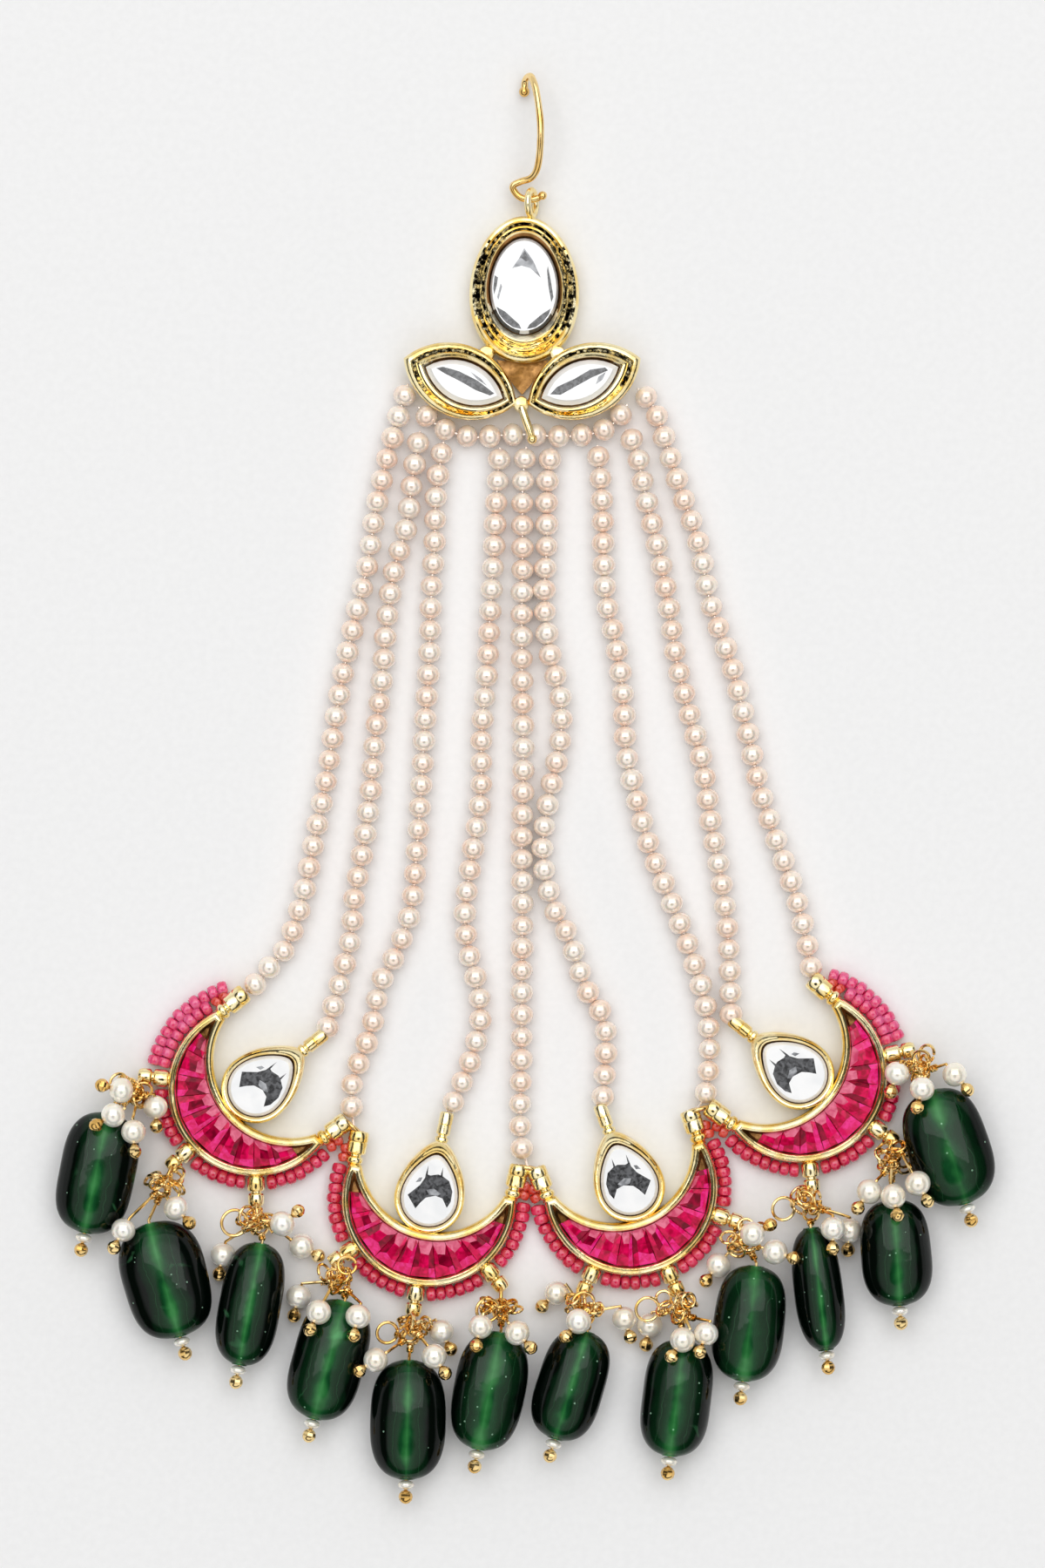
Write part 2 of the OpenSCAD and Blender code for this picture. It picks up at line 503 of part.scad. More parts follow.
hook();
crown();
crown_stone();
leaf_stone_left();
leaf_stone_right();
pearl_collar();
for (i = [1:9]) pearl_strand(i);
for (k = CRESCENTS) crescent(k);
for (k = CRESCENTS) ruby_row(k);
for (k = CRESCENTS) pear_stone(k);
for (k = CRESCENTS) seed_string(k);
join_rings();
drop_rings();
for (b = BEADS) green_bead(b);
drop_pins();
end_pearls();
for (k = CRESCENTS) cluster_pearls(k);
for (k = CRESCENTS) cluster_pins(k);
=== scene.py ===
"""Passa jhoomar headpiece laid flat on pale paper, dressed over its CAD frame.

The tables below are in millimetres, in the CAD frame: +Z up from the paper, +Y to the hook.
"""
import math
import random

import bmesh
import bpy
import numpy as np
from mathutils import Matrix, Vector
from mathutils.geometry import delaunay_2d_cdt


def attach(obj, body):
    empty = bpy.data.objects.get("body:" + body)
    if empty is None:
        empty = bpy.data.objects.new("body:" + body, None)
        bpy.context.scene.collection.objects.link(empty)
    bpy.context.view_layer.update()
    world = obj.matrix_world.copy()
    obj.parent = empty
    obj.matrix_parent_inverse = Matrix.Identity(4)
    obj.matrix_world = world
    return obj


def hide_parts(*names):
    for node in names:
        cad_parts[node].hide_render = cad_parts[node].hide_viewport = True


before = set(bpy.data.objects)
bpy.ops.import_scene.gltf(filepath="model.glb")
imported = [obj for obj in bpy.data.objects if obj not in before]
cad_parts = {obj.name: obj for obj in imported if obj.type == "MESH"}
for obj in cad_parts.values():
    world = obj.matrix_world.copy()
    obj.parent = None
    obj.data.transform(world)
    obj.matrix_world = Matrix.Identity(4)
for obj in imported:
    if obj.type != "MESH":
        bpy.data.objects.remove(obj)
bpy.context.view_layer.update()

MM = 0.001
BODY = "root"
random.seed(7)

# Tables

HOOK_ROUTE = [(-0.2, 79.8, 0.9), (-0.1, 81.0, 1.0), (0.3, 81.5, 1.8), (0.7, 81.2, 2.9),
              (1.2, 79.5, 3.8), (1.65, 76, 4.3), (1.6, 73, 4), (1.3, 70.9, 3.2),
              (0.6, 69.8, 2.5), (-0.6, 69.4, 2.1), (-1.5, 68.9, 2), (-1.2, 68.1, 1.9),
              (-0.4, 67.5, 1.9), (1, 67.4, 1.9), (1.9, 67.8, 2)]
HOOK_WIRE = 0.8
HOOK_TIP_R = 0.62
HOOK_KNOB_R = 0.52
EGG_AT = (-0.2, 56.95)
EGG_SIZE = (12.6, 17.0)
EGG_SLIM = 0.07
EGG_WALL_IN = 2.34
EGG_STONE = (7.8, 11.0)
EGG_STONE_UP = 0.35
STONE_GAP = 0.12
SEAT_Z = 1.6
LEAF_MIDDLE = (-0.45, 46.45)
LEAF_REACH = 7.1
LEAF_TILT = 22
LEAF_SIZE = (14.0, 8.4)
LEAF_STONE_IN = 0.5
TOP_RING_AT = (0.65, 66.95, 1.9)

COLLAR_ROUTE = [(-12.3, 43.5), (-10.8, 41.9), (-8.8, 40.8), (-6, 40.1), (-3, 40.3), (0, 40.4),
                (3.4, 40.2), (6.2, 40.3), (8.6, 40.8), (10.4, 42), (11.6, 43.8)]
STRAND_ROUTES = [
    [(-13.6, 46.1), (-15, 41.2), (-16.3, 36.3), (-17.4, 31), (-18.2, 25.5), (-19.7, 19),
     (-21, 13), (-22, 7), (-23, 0.5), (-24.3, -6), (-25.7, -13), (-27.6, -18.5),
     (-29.5, -20.8), (-31, -22.9)],
    [(-12.2, 40.7), (-13.1, 35), (-13.7, 30), (-15.1, 25), (-16, 19), (-16.5, 12.7),
     (-17.4, 5), (-17.9, -1), (-18.7, -7), (-19.7, -12.5), (-20.1, -17), (-21.1, -21.5),
     (-22.8, -27.8)],
    [(-9.5, 39.5), (-10.3, 34), (-10.5, 28), (-10.9, 22), (-11.1, 15), (-11.5, 9),
     (-11.9, 2), (-12.5, -6.5), (-13.2, -14), (-14.9, -19.1), (-16.8, -22.9),
     (-17.8, -28), (-19.9, -33.8), (-20.1, -36.6)],
    [(-3, 38.8), (-3.4, 33), (-3.7, 27), (-4.1, 20), (-4.5, 13), (-5.1, 6), (-5.2, -1),
     (-6.2, -8), (-7, -14), (-6.7, -18.5), (-5.8, -22), (-5.2, -26.3), (-6.2, -31),
     (-7.7, -35.2)],
    [(0, 38.9), (-0.4, 34), (-0.4, 26), (-0.5, 18), (-0.4, 10), (-0.3, 2), (-0.5, -6),
     (-0.4, -14), (-0.5, -22), (-0.5, -30), (-0.7, -38), (-0.8, -40.9)],
    [(2.9, 38.8), (2.4, 34), (2.4, 28), (2.1, 21.5), (2.7, 15.5), (4, 10), (3.9, 5),
     (2.7, -1), (2, -5.5), (2, -9), (3.2, -14), (5, -17.5), (6.8, -23), (9.1, -27.5),
     (9.2, -35)],
    [(8.2, 39.1), (8.7, 33.5), (8.9, 27), (9.2, 21.5), (10.4, 16), (11.2, 10), (11.5, 4),
     (12.6, -1), (14.2, -7), (16.6, -13), (18.7, -18.5), (20.5, -24.5), (21.1, -30),
     (21, -34.9)],
    [(11.5, 40.9), (12.7, 38.5), (13.8, 33), (15, 28), (16.2, 22), (17.2, 15), (18.6, 9),
     (20.3, 2.5), (21.2, -4), (22.3, -10), (23.2, -17), (23.6, -25.8)],
    [(12.9, 45.6), (14.5, 43.8), (15.9, 40), (17.6, 34.5), (19.8, 28), (21.2, 21),
     (23.6, 14), (25.3, 7), (26.8, 0), (28.7, -6), (30.8, -12), (32.3, -18),
     (32.9, -21.2)]]
STRING_Z = 1.25
STRAND_PEARL_D = 2.66
STRAND_PITCH = 2.53
THREAD_R = 0.14

CRESCENT_AT = [(-31.1, -34.75), (-11.15, -47.45), (12, -46.15), (31.5, -33.2)]
CRESCENT_OPEN = [38.5, 78, 110.5, 141]
CRESCENT_R = 10.0
MOUTH_R = 8.85
MOUTH_SHIFT = 5.2
HORN_CUT = 2.2
HORN_X = 9.3
HORN_LEAN = 1.4
HORN_EYE_UP = 4.0
HORN_BARREL_END = 4.16
PEAR_BARREL_END = 3.86
OUTER_RIM = 1.1
INNER_RIM = 1.2
FLOOR_T = 0.9
BAIL_Z = 1.9
DROP_BAIL_AT = 9.6
DROP_EYE = 12.9
DROP_ANGLES = [-135, -86, -38]
PEAR_AT = 0.2
PEAR_R = 4.05
PEAR_TIP = 6.7
PEAR_BAIL_AT = PEAR_AT + PEAR_TIP - 0.5
RUBIES = 10
RUBY_FROM = -174
RUBY_SPAN = 168
RUBY_GAP = 0.12
SEED_PITCH = 1.17
SEED_ROW_R = 10.9
OUTER_ROW_R = 12.05
SEED_SPANS = [(-190, -141.5), (-128.5, -92.5), (-79.5, -44.5), (-31.5, 10)]
OUTER_SPANS = {1: (-203, -141.5), 4: (-31.5, 23)}
JOINS = [(1, 2), (2, 3), (3, 4)]

# crescent, bail, top end x and y, ball x and y, length, width
GREEN = [
    (1, 1, -47.8, -37.5, -51.0, -53.0, 14.0, 8.8), (1, 2, -43.2, -50.1, -39.2, -64.7, 13.5, 9.8),
    (1, 3, -30.3, -52.4, -33.2, -67.9, 14.2, 7.2), (2, 1, -20.8, -59.0, -24.8, -74.1, 14.0, 8.4),
    (2, 2, -13.4, -65.8, -13.8, -81.1, 13.7, 8.6), (2, 3, -2.9, -62.6, -6.0, -78.5, 13.7, 8.2),
    (3, 1, 7.0, -62.5, 2.8, -76.6, 12.9, 7.8), (3, 2, 18.0, -63.5, 16.3, -78.4, 13.4, 8.0),
    (3, 3, 26.4, -55.0, 24.6, -70.0, 13.3, 8.2), (4, 1, 32.7, -50.6, 34.7, -66.9, 14.2, 5.6),
    (4, 2, 42.0, -47.4, 43.0, -61.5, 12.2, 8.1), (4, 3, 46.4, -34.9, 50.9, -49.3, 13.6, 9.4)]
GLASS_Z = 3.1
GLASS_HALF_T = 3.0
GLASS_SIDES = 48
GLASS_ROWS = 34
RING_R = 1.35
RING_WIRE = 0.44
CUT_ANGLE = 97
PIN_WIRE = 0.36
LOOP_R = 0.85
LOOP_HANG = 0.33
WRAP_R = 0.14
SLACK_LOOPS = 8
BALL_D = 1.62
PEARL_D = 2.9
END_PEARL_D = 1.1

# crescent, bail, place on the ring in degrees, pearl x y z, the point its ball lies towards
CLUSTER = [
    (1, 1, 66, -42.5, -36.8, 3.2, -42.4, -38.6, 2.8), (1, 1, 32, -47.2, -37.6, 6.3, -48.6, -38.4, 6.6),
    (1, 1, -36, -44.9, -39.5, 6, -44.8, -41.2, 6.2), (1, 1, 100, -46.3, -34.8, 5.7, -47.8, -34.4, 5.9),
    (1, 2, 32, -46.1, -50.8, 5, -47, -52.5, 5), (1, 2, 66, -40.1, -48.3, 4.8, -38.8, -49.7, 5),
    (1, 3, 32, -34.8, -53.8, 1.7, -35.2, -55.8, 1.5), (1, 3, -39, -25.8, -52.8, 1.65, -24.3, -53.7, 1.3),
    (1, 3, 68, -27.9, -50.1, 4.6, -26.8, -49.2, 4.6), (2, 1, -36, -26.1, -58.6, 1.6, -26.6, -60.6, 1.4),
    (2, 1, 66, -23.7, -60.1, 6.4, -24.5, -61.8, 6.9), (2, 1, 32, -19.2, -60.6, 6.5, -19.6, -62.4, 7),
    (2, 2, 32, -17.2, -65.6, 5.8, -19, -66.8, 5.6), (2, 2, 66, -10.5, -65.2, 5.8, -9.4, -66.9, 6),
    (2, 2, -36, -9.7, -62.6, 1.9, -8.8, -64.4, 1.7), (2, 3, 66, -5.2, -61.8, 6, -5.6, -63.6, 6.4),
    (2, 3, 32, -1, -62.5, 6.2, 0.2, -63.8, 6.6), (3, 1, -36, 3.5, -58.2, 1.8, 2.2, -59.4, 1.5),
    (3, 1, 66, 6, -61.2, 5.8, 4.8, -62.6, 6.1), (3, 1, 34, 11.3, -61.1, 2.2, 11.9, -63, 1.8),
    (3, 2, 68, 17.9, -63.3, 6.2, 16.8, -64.9, 6.5), (3, 2, 32, 20.6, -62.6, 5.9, 20, -64.3, 6.4),
    (3, 2, -36, 14.2, -61.9, 1.7, 13.9, -63.6, 1.5), (3, 3, -36, 22.1, -55, 1.8, 20.9, -56.5, 1.95),
    (3, 3, 32, 28.5, -53.3, 5, 30.3, -53.9, 5.2), (3, 3, 66, 25.9, -51.2, 6.1, 27.5, -50.4, 5.9),
    (4, 1, 66, 35.1, -50.6, 5.8, 35.1, -52.5, 5.8), (4, 1, -36, 37.1, -51, 1.8, 37, -53.2, 1.5),
    (4, 2, 32, 39.3, -46.4, 4.9, 38.2, -48, 4.9), (4, 2, 66, 42, -46.9, 6.1, 42.4, -48.8, 6.8),
    (4, 2, 100, 44.8, -45.4, 6.3, 46.2, -47.9, 6.4), (4, 3, -36, 42.5, -32.9, 4.4, 41.9, -34.8, 4),
    (4, 3, 66, 45.3, -34.6, 6.1, 44.8, -36.4, 6.6), (4, 3, 32, 49.1, -33, 4.6, 50.5, -34.7, 4.6)]
# open loops that lie nearly face on: x, y, z, radius
LOOSE_LOOPS = [(-33.4, -50.0, 4.6, 1.5), (-15.9, -62.6, 4.2, 1.2), (-4.4, -60.0, 4.4, 1.3),
               (6.6, -59.2, 4.2, 1.25), (13.9, -59.9, 4.3, 1.35), (29.5, -48.4, 4.2, 1.3)]

# Shapes

UP = np.array([0, 0, 1.0])
# Places in the lists of finishes of a stone, the crown, a crescent and a seed string
# A stone's grey and dark tones are painted reflections of the studio in its foil
CLEAR, GREY_REFLECTION, DARK_REFLECTION = range(3)
POLISHED, HAMMERED_SHADE, SHADE_BROWN, LIT_PALE = range(4)
RIM, WALL = range(2)
RED, PINK, ORANGE = range(3)


def unit(v):
    """A vector's direction."""
    v = np.asarray(v, float)
    return v / np.linalg.norm(v)


def lift(p, z):
    """A flat point or way, given a height."""
    return np.array([p[0], p[1], z], float)


def polar(r, degrees):
    """A flat point by its distance and its angle from +X."""
    return np.array([r * math.cos(math.radians(degrees)), r * math.sin(math.radians(degrees))])


def turned(points, degrees):
    """Points turned about +Z."""
    c, s = math.cos(math.radians(degrees)), math.sin(math.radians(degrees))
    points = np.array(points, float)
    points[..., :2] = points[..., :2] @ np.array([[c, s], [-s, c]])
    return points


def on_crescent(k, points):
    """Points of crescent k's own frame, whose mouth opens to +Y, set down in the headpiece."""
    points = turned(points, CRESCENT_OPEN[k - 1] - 90)
    points[..., :2] += CRESCENT_AT[k - 1]
    return points


def axes(way):
    """Two directions across a way."""
    way, near = unit(way), UP
    if abs(way @ near) > 0.95:
        near = np.array([1.0, 0, 0])
    side = unit(np.cross(near, way))
    return side, np.cross(way, side)


def loft(rings, closed=False, caps=True):
    """Rings of equal count joined into one skin."""
    rings = np.asarray(rings, float)
    m, n = rings.shape[:2]
    faces = []
    for j in range(m if closed else m - 1):
        a, b = j * n, (j + 1) % m * n
        faces += [(a + i, a + (i + 1) % n, b + (i + 1) % n, b + i) for i in range(n)]
    if caps and not closed:
        faces += [tuple(range(n))[::-1], tuple(range((m - 1) * n, m * n))]
    return rings.reshape(-1, 3), faces


def turning(profile, middle, way, sides=24, closed=False):
    """A turned form: (distance along the way, radius) pairs spun about it."""
    side, up = axes(way)
    way, middle = unit(way), np.asarray(middle, float)
    a = np.arange(sides) * 2 * math.pi / sides
    around = np.cos(a)[:, None] * side + np.sin(a)[:, None] * up
    return loft([middle + s * way + r * around for s, r in profile], closed)


def smooth_route(points, steps):
    """A soft curve through the points of a route."""
    p = np.asarray(points, float)
    p = np.vstack([2 * p[0] - p[1], p, 2 * p[-1] - p[-2]])
    out = []
    for i in range(1, len(p) - 2):
        a, b, c, d = p[i - 1:i + 3]
        for t in np.arange(steps) / steps:
            out.append(b + (c - a) * t / 2 + (2 * a - 5 * b + 4 * c - d) * t * t / 2
                       + (3 * (b - c) + d - a) * t ** 3 / 2)
    return np.array(out + [p[-2]])


def wire_end(at, out, radius, end_ball):
    """The (middle, radius) rows that round off the end of a wire or swell it to a ball."""
    r = max(end_ball, radius)
    low = -50 if end_ball else 0
    return [(at + r * math.sin(math.radians(a)) * out, r * math.cos(math.radians(a)))
            for a in (low, low / 2, 0, 30, 60, 86)]


def drawn_wire(points, radius, sides, closed=False, start_ball=0, end_ball=0):
    """Round wire along points, turned with it and never twisted; its ends may swell to balls."""
    p = np.asarray(points, float)
    rows = [(q, radius) for q in p]
    if not closed:
        rows = [row for row in rows if np.linalg.norm(row[0] - p[0]) > start_ball * 0.8 + 1e-6
                and np.linalg.norm(row[0] - p[-1]) > end_ball * 0.8 + 1e-6]
        rows = (wire_end(p[0], unit(p[0] - p[1]), radius, start_ball)[::-1] + rows
                + wire_end(p[-1], unit(p[-1] - p[-2]), radius, end_ball))
        rows = [rows[0]] + [b for a, b in zip(rows, rows[1:]) if np.linalg.norm(a[0] - b[0]) > 1e-4]
    middles = np.array([r[0] for r in rows])
    m = len(rows)
    a = np.arange(sides) * 2 * math.pi / sides
    side, rings = None, []
    for i in range(m):
        before = middles[i - 1] if closed or i else middles[0]
        after = middles[(i + 1) % m] if closed or i < m - 1 else middles[i]
        way = unit(after - before)
        side = axes(way)[0] if side is None else unit(side - (side @ way) * way)
        up = np.cross(way, side)
        rings.append(middles[i] + rows[i][1] * (np.cos(a)[:, None] * side + np.sin(a)[:, None] * up))
    return loft(rings, closed)


def wire_ring(middle, axis, radius, wire, sides, steps, gap=0):
    """A jump ring about an axis; a gap in degrees leaves its two cut ends apart."""
    side, up = axes(axis)
    span = 360 - gap
    count = steps + 1 if gap else steps
    a = np.radians(gap / 2 + np.arange(count) * span / steps + CUT_ANGLE)
    points = np.asarray(middle, float) + radius * (np.cos(a)[:, None] * side + np.sin(a)[:, None] * up)
    return drawn_wire(points, wire, sides, closed=not gap)


def bead(middle, radius, way, sides, rings, bore, squash):
    """A drilled bead, squashed along its hole, whose lips are softened."""
    edge = math.degrees(math.acos(min(bore * 1.35 / radius, 0.95)))
    skin = [(radius * squash * math.sin(math.radians(t)), radius * math.cos(math.radians(t)))
            for t in np.linspace(-edge, edge, rings)]
    s = skin[-1][0]
    return turning([(-s * 0.93, bore)] + skin + [(s * 0.93, bore)], middle, way, sides, closed=True)


def at_height(flat, z):
    """A flat outline at one height."""
    return np.column_stack([flat, np.full(len(flat), z)])


def moulding(outline, steps, floor=False):
    """A rim raised along an outline: each step draws the outline in and lifts it."""
    return loft([at_height(outline(drawn_in), z) for drawn_in, z in steps], caps=floor)


def egg(width, length, count=96):
    """An egg's outline, slimmer towards +Y."""
    a = np.arange(count) * 2 * math.pi / count
    return np.column_stack([width / 2 * np.cos(a) * (1 - EGG_SLIM * np.sin(a)), length / 2 * np.sin(a)])


def leaf(length, width, drawn_in=0.0, count=96):
    """A pointed leaf's outline, drawn in from its two arcs."""
    r = (length * length + width * width) / (4 * width)
    c = r - width / 2
    r -= drawn_in
    half = math.acos(c / r)
    t = half - 2 * half * np.arange(count // 2) / (count // 2)
    arc = np.column_stack([r * np.sin(t), r * np.cos(t) - c])
    return np.vstack([arc, -arc])


def pear(r, tip, count=72):
    """A pear's outline, its tip towards +Y."""
    a = np.arange(count) * 2 * math.pi / count
    upper = a < math.pi
    return np.column_stack([r * np.cos(a) * np.where(upper, 1 - 0.34 * np.sin(a) ** 2, 1),
                            np.where(upper, tip, r) * np.sin(a)])


def crescent(outer, inner):
    """The crescent's outline, drawn in from its outer edge and from its mouth."""
    ro, ri = CRESCENT_R - outer, MOUTH_R + inner
    crossing = (ro * ro - ri * ri + MOUTH_SHIFT ** 2) / (2 * MOUTH_SHIFT)
    end = min(HORN_CUT - (outer + inner) / 2, crossing - 0.01)
    a = math.asin(end / ro)
    b = math.asin((end - MOUTH_SHIFT) / ri)
    n = 80
    t = np.linspace(a, -math.pi - a, n)
    s = np.linspace(-math.pi - b, b, n)
    back = np.column_stack([ri * np.cos(s), MOUTH_SHIFT + ri * np.sin(s)])
    return np.vstack([np.column_stack([ro * np.cos(t), ro * np.sin(t)]), back])


def channel_in(degrees, gap):
    """How far out, at an angle, the ruby channel starts behind the rim of the mouth."""
    r = MOUTH_R + INNER_RIM + gap
    s, c = math.sin(math.radians(degrees)), math.cos(math.radians(degrees))
    return MOUTH_SHIFT * s + math.sqrt(r * r - (MOUTH_SHIFT * c) ** 2)


def inside(point, polygon):
    """Whether a flat point lies in a polygon."""
    x, y = point
    hit = False
    for (x0, y0), (x1, y1) in zip(polygon, list(polygon[1:]) + [polygon[0]]):
        if (y0 > y) != (y1 > y) and x < (x1 - x0) * (y - y0) / (y1 - y0) + x0:
            hit = not hit
    return hit


def stone_table(outline, patches, height):
    """A stone's table at one height, split along the edges of its dark reflections.

    Returns the points, the triangles and, for each triangle, the patch it lies in.
    """
    points, edges = [], []
    for loop in [list(outline)] + [p[0] for p in patches]:
        start = len(points)
        points += [Vector((float(x), float(y))) for x, y in loop]
        edges += [(start + i, start + (i + 1) % len(loop)) for i in range(len(loop))]
    flat, _, faces, *_ = delaunay_2d_cdt(points, edges, [list(range(len(outline)))], 1, 1e-5)
    tones = []
    for f in faces:
        middle = sum((flat[i] for i in f), Vector((0, 0))) / len(f)
        tones.append(next((tone for loop, tone in reversed(patches) if inside(middle, loop)), CLEAR))
    return np.array([(p.x, p.y, height) for p in flat]), [tuple(f) for f in faces], tones


def faceted_crown(girdle, table, z_base, z_girdle, z_table, patches, tones=(CLEAR,)):
    """Base, girdle and crown facets of a stone, its base and girdle in painted grey reflection, and its table
    with its painted dark reflections.
    """
    n = len(girdle)
    points = np.vstack([at_height(girdle * 0.8, z_base), at_height(girdle, z_girdle),
                        at_height(table, z_table)])
    faces, finish = [tuple(range(n))[::-1]], [GREY_REFLECTION]
    for i in range(n):
        j = (i + 1) % n
        faces.append((i, j, n + j, n + i))
        finish.append(GREY_REFLECTION)
        faces.append((n + i, n + j, 2 * n + j))
        finish.append(tones[i % len(tones)])
        faces.append((n + i, 2 * n + j, 2 * n + i))
        finish.append(tones[i % len(tones)])
    flat, triangles, patch = stone_table(table, patches, z_table)
    faces += [tuple(k + len(points) for k in f) for f in triangles]
    return np.vstack([points, flat]), faces, finish + patch


class Work:
    """Collects shapes, each with one of the piece's finishes, into one mesh."""

    def __init__(self):
        self.points, self.faces, self.finish, self.count = [], [], [], 0

    def add(self, shape, finish=0, move=None):
        """Adds a shape in one finish, or in the finishes it brings, moved to its place."""
        points, faces = shape[0], shape[1]
        tones = shape[2] if len(shape) > 2 else [finish] * len(faces)
        points = np.array(points, float)
        if move is not None:
            points = move(points)
        self.points.append(points)
        self.faces += [tuple(i + self.count for i in f) for f in faces]
        self.finish += tones
        self.count += len(points)

    def piece(self, name, finishes, slot, nodes, crease=35):
        """Makes the piece, smooth up to the crease angle, hangs it on the root body and hides the CAD parts
        it stands in for.
        """
        mesh = bpy.data.meshes.new(name)
        mesh.from_pydata((np.vstack(self.points) * MM).tolist(), [], self.faces)
        mesh.polygons.foreach_set("material_index", self.finish)
        form = bmesh.new()
        form.from_mesh(mesh)
        bmesh.ops.recalc_face_normals(form, faces=form.faces)
        form.to_mesh(mesh)
        form.free()
        mesh.polygons.foreach_set("use_smooth", [True] * len(mesh.polygons))
        mesh.set_sharp_from_angle(angle=math.radians(crease))
        for finish in finishes:
            mesh.materials.append(finish)
        mesh.validate()
        obj = bpy.data.objects.new(name, mesh)
        bpy.context.scene.collection.objects.link(obj)
        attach(obj, BODY)
        if nodes:
            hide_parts(*nodes)
        return obj


# Finishes


def linear(colour):
    """An sRGB hex colour as linear RGBA."""
    parts = [int(colour[i:i + 2], 16) / 255 for i in (1, 3, 5)]
    return [c / 12.92 if c <= 0.04045 else ((c + 0.055) / 1.055) ** 2.4 for c in parts] + [1.0]


def add(tree, kind, settings=None, links=None):
    """Adds a node: settings by socket or property name, a ramp's stops, and links by socket."""
    node = tree.nodes.new(kind)
    for key, value in (settings or {}).items():
        if key == "stops":
            for _ in value[2:]:
                node.color_ramp.elements.new(0.5)
            for element, (place, colour) in zip(node.color_ramp.elements, value):
                element.position, element.color = place, linear(colour)
        elif isinstance(key, int) or key in node.inputs:
            node.inputs[key].default_value = value
        else:
            setattr(node, key, value)
    for key, source in (links or {}).items():
        tree.links.new(source, node.inputs[key])
    return node


def clouded(name, pale, deep, cloud_mm, detail, soft, turn=0.5, warp=0.0):
    """A new material whose deep tone drifts into a pale one, before it has a surface."""
    finish = bpy.data.materials.new(name)
    finish.use_nodes = True
    tree = finish.node_tree
    tree.nodes.clear()
    place = add(tree, "ShaderNodeTexCoord").outputs["Object"]
    cloud = add(tree, "ShaderNodeTexNoise",
                {"Scale": 1 / (cloud_mm * MM), "Detail": detail, "Distortion": warp}, {"Vector": place})
    tone = add(tree, "ShaderNodeValToRGB", {"stops": [(turn - soft, deep), (turn + soft, pale)]},
               {"Fac": cloud.outputs["Fac"]})
    return finish, tree, place, tone.outputs["Color"]


def plated_brass(name, pale, deep, rough, pit_mm, pit_depth, fleck_mm=2.6, fleck_turn=0.48):
    """Cast brass, tumbled and gold plated: bright, a little wavy, its colour flecked between a deep and a
    pale tone; where the deep tone is near black, the flecks are painted shade.
    """
    finish, tree, place, tone = clouded(name, pale, deep, fleck_mm, 2.0, 0.08, fleck_turn)
    wave = add(tree, "ShaderNodeTexNoise", {"Scale": 1 / (pit_mm * MM), "Detail": 3.0, "Roughness": 0.55},
               {"Vector": place})
    gloss = add(tree, "ShaderNodeMapRange", {"From Min": 0.3, "From Max": 0.7, "To Min": rough * 0.7,
                                             "To Max": rough * 1.5}, {"Value": wave.outputs["Fac"]})
    relief = add(tree, "ShaderNodeBump", {"Strength": 0.5, "Distance": pit_depth * MM},
                 {"Height": wave.outputs["Fac"]})
    metal = add(tree, "ShaderNodeBsdfPrincipled", {"Metallic": 1.0},
                {"Base Color": tone, "Roughness": gloss.outputs["Result"],
                 "Normal": relief.outputs["Normal"]})
    add(tree, "ShaderNodeOutputMaterial", links={"Surface": metal.outputs["BSDF"]})
    return finish


def foiled_glass(name, pale, deep, cloud_mm, gloss=0.6, shine=0.5):
    """Cut glass with mirror foil behind: each facet one clear tone with a soft drift across it."""
    finish, tree, _, tone = clouded(name, pale, deep, cloud_mm, 1.5, 0.14, warp=0.6)
    glass = add(tree, "ShaderNodeBsdfPrincipled",
                {"Roughness": 0.08, "Coat Weight": gloss, "Coat Roughness": 0.02,
                 "Specular IOR Level": shine},
                {"Base Color": tone})
    add(tree, "ShaderNodeOutputMaterial", links={"Surface": glass.outputs["BSDF"]})
    return finish


def dipped_pearl(name, pale, deep, rough=0.13):
    """Glass beads dipped in pearl essence: milky peach in the depth, half a mirror on the skin."""
    finish, tree, place, tone = clouded(name, pale, deep, 3.5, 1.0, 0.15)
    skin = add(tree, "ShaderNodeTexNoise", {"Scale": 1 / (0.7 * MM), "Detail": 2.0}, {"Vector": place})
    relief = add(tree, "ShaderNodeBump", {"Strength": 0.3, "Distance": 0.015 * MM},
                 {"Height": skin.outputs["Fac"]})
    pearl = add(tree, "ShaderNodeBsdfPrincipled",
                {"Roughness": rough, "Metallic": 0.34, "Coat Weight": 0.35, "Coat Roughness": 0.05,
                 "Subsurface Weight": 0.3, "Subsurface Radius": (1.0 * MM, 0.7 * MM, 0.5 * MM),
                 "Subsurface Scale": 1.0},
                {"Base Color": tone, "Normal": relief.outputs["Normal"]})
    add(tree, "ShaderNodeOutputMaterial", links={"Surface": pearl.outputs["BSDF"]})
    return finish


def seed_glass(name, pale, deep, through=0.4):
    """Pressed seed beads of red glass: wet gloss, the light glowing through their flanks."""
    finish, tree, _, tone = clouded(name, pale, deep, 1.1, 1.0, 0.16)
    glass = add(tree, "ShaderNodeBsdfPrincipled",
                {"Roughness": 0.1, "Transmission Weight": through, "IOR": 1.5, "Coat Weight": 1.0,
                 "Coat Roughness": 0.04, "Subsurface Weight": 0.4,
                 "Subsurface Radius": (1.4 * MM, 0.4 * MM, 0.5 * MM), "Subsurface Scale": 1.0},
                {"Base Color": tone})
    add(tree, "ShaderNodeOutputMaterial", links={"Surface": glass.outputs["BSDF"]})
    return finish


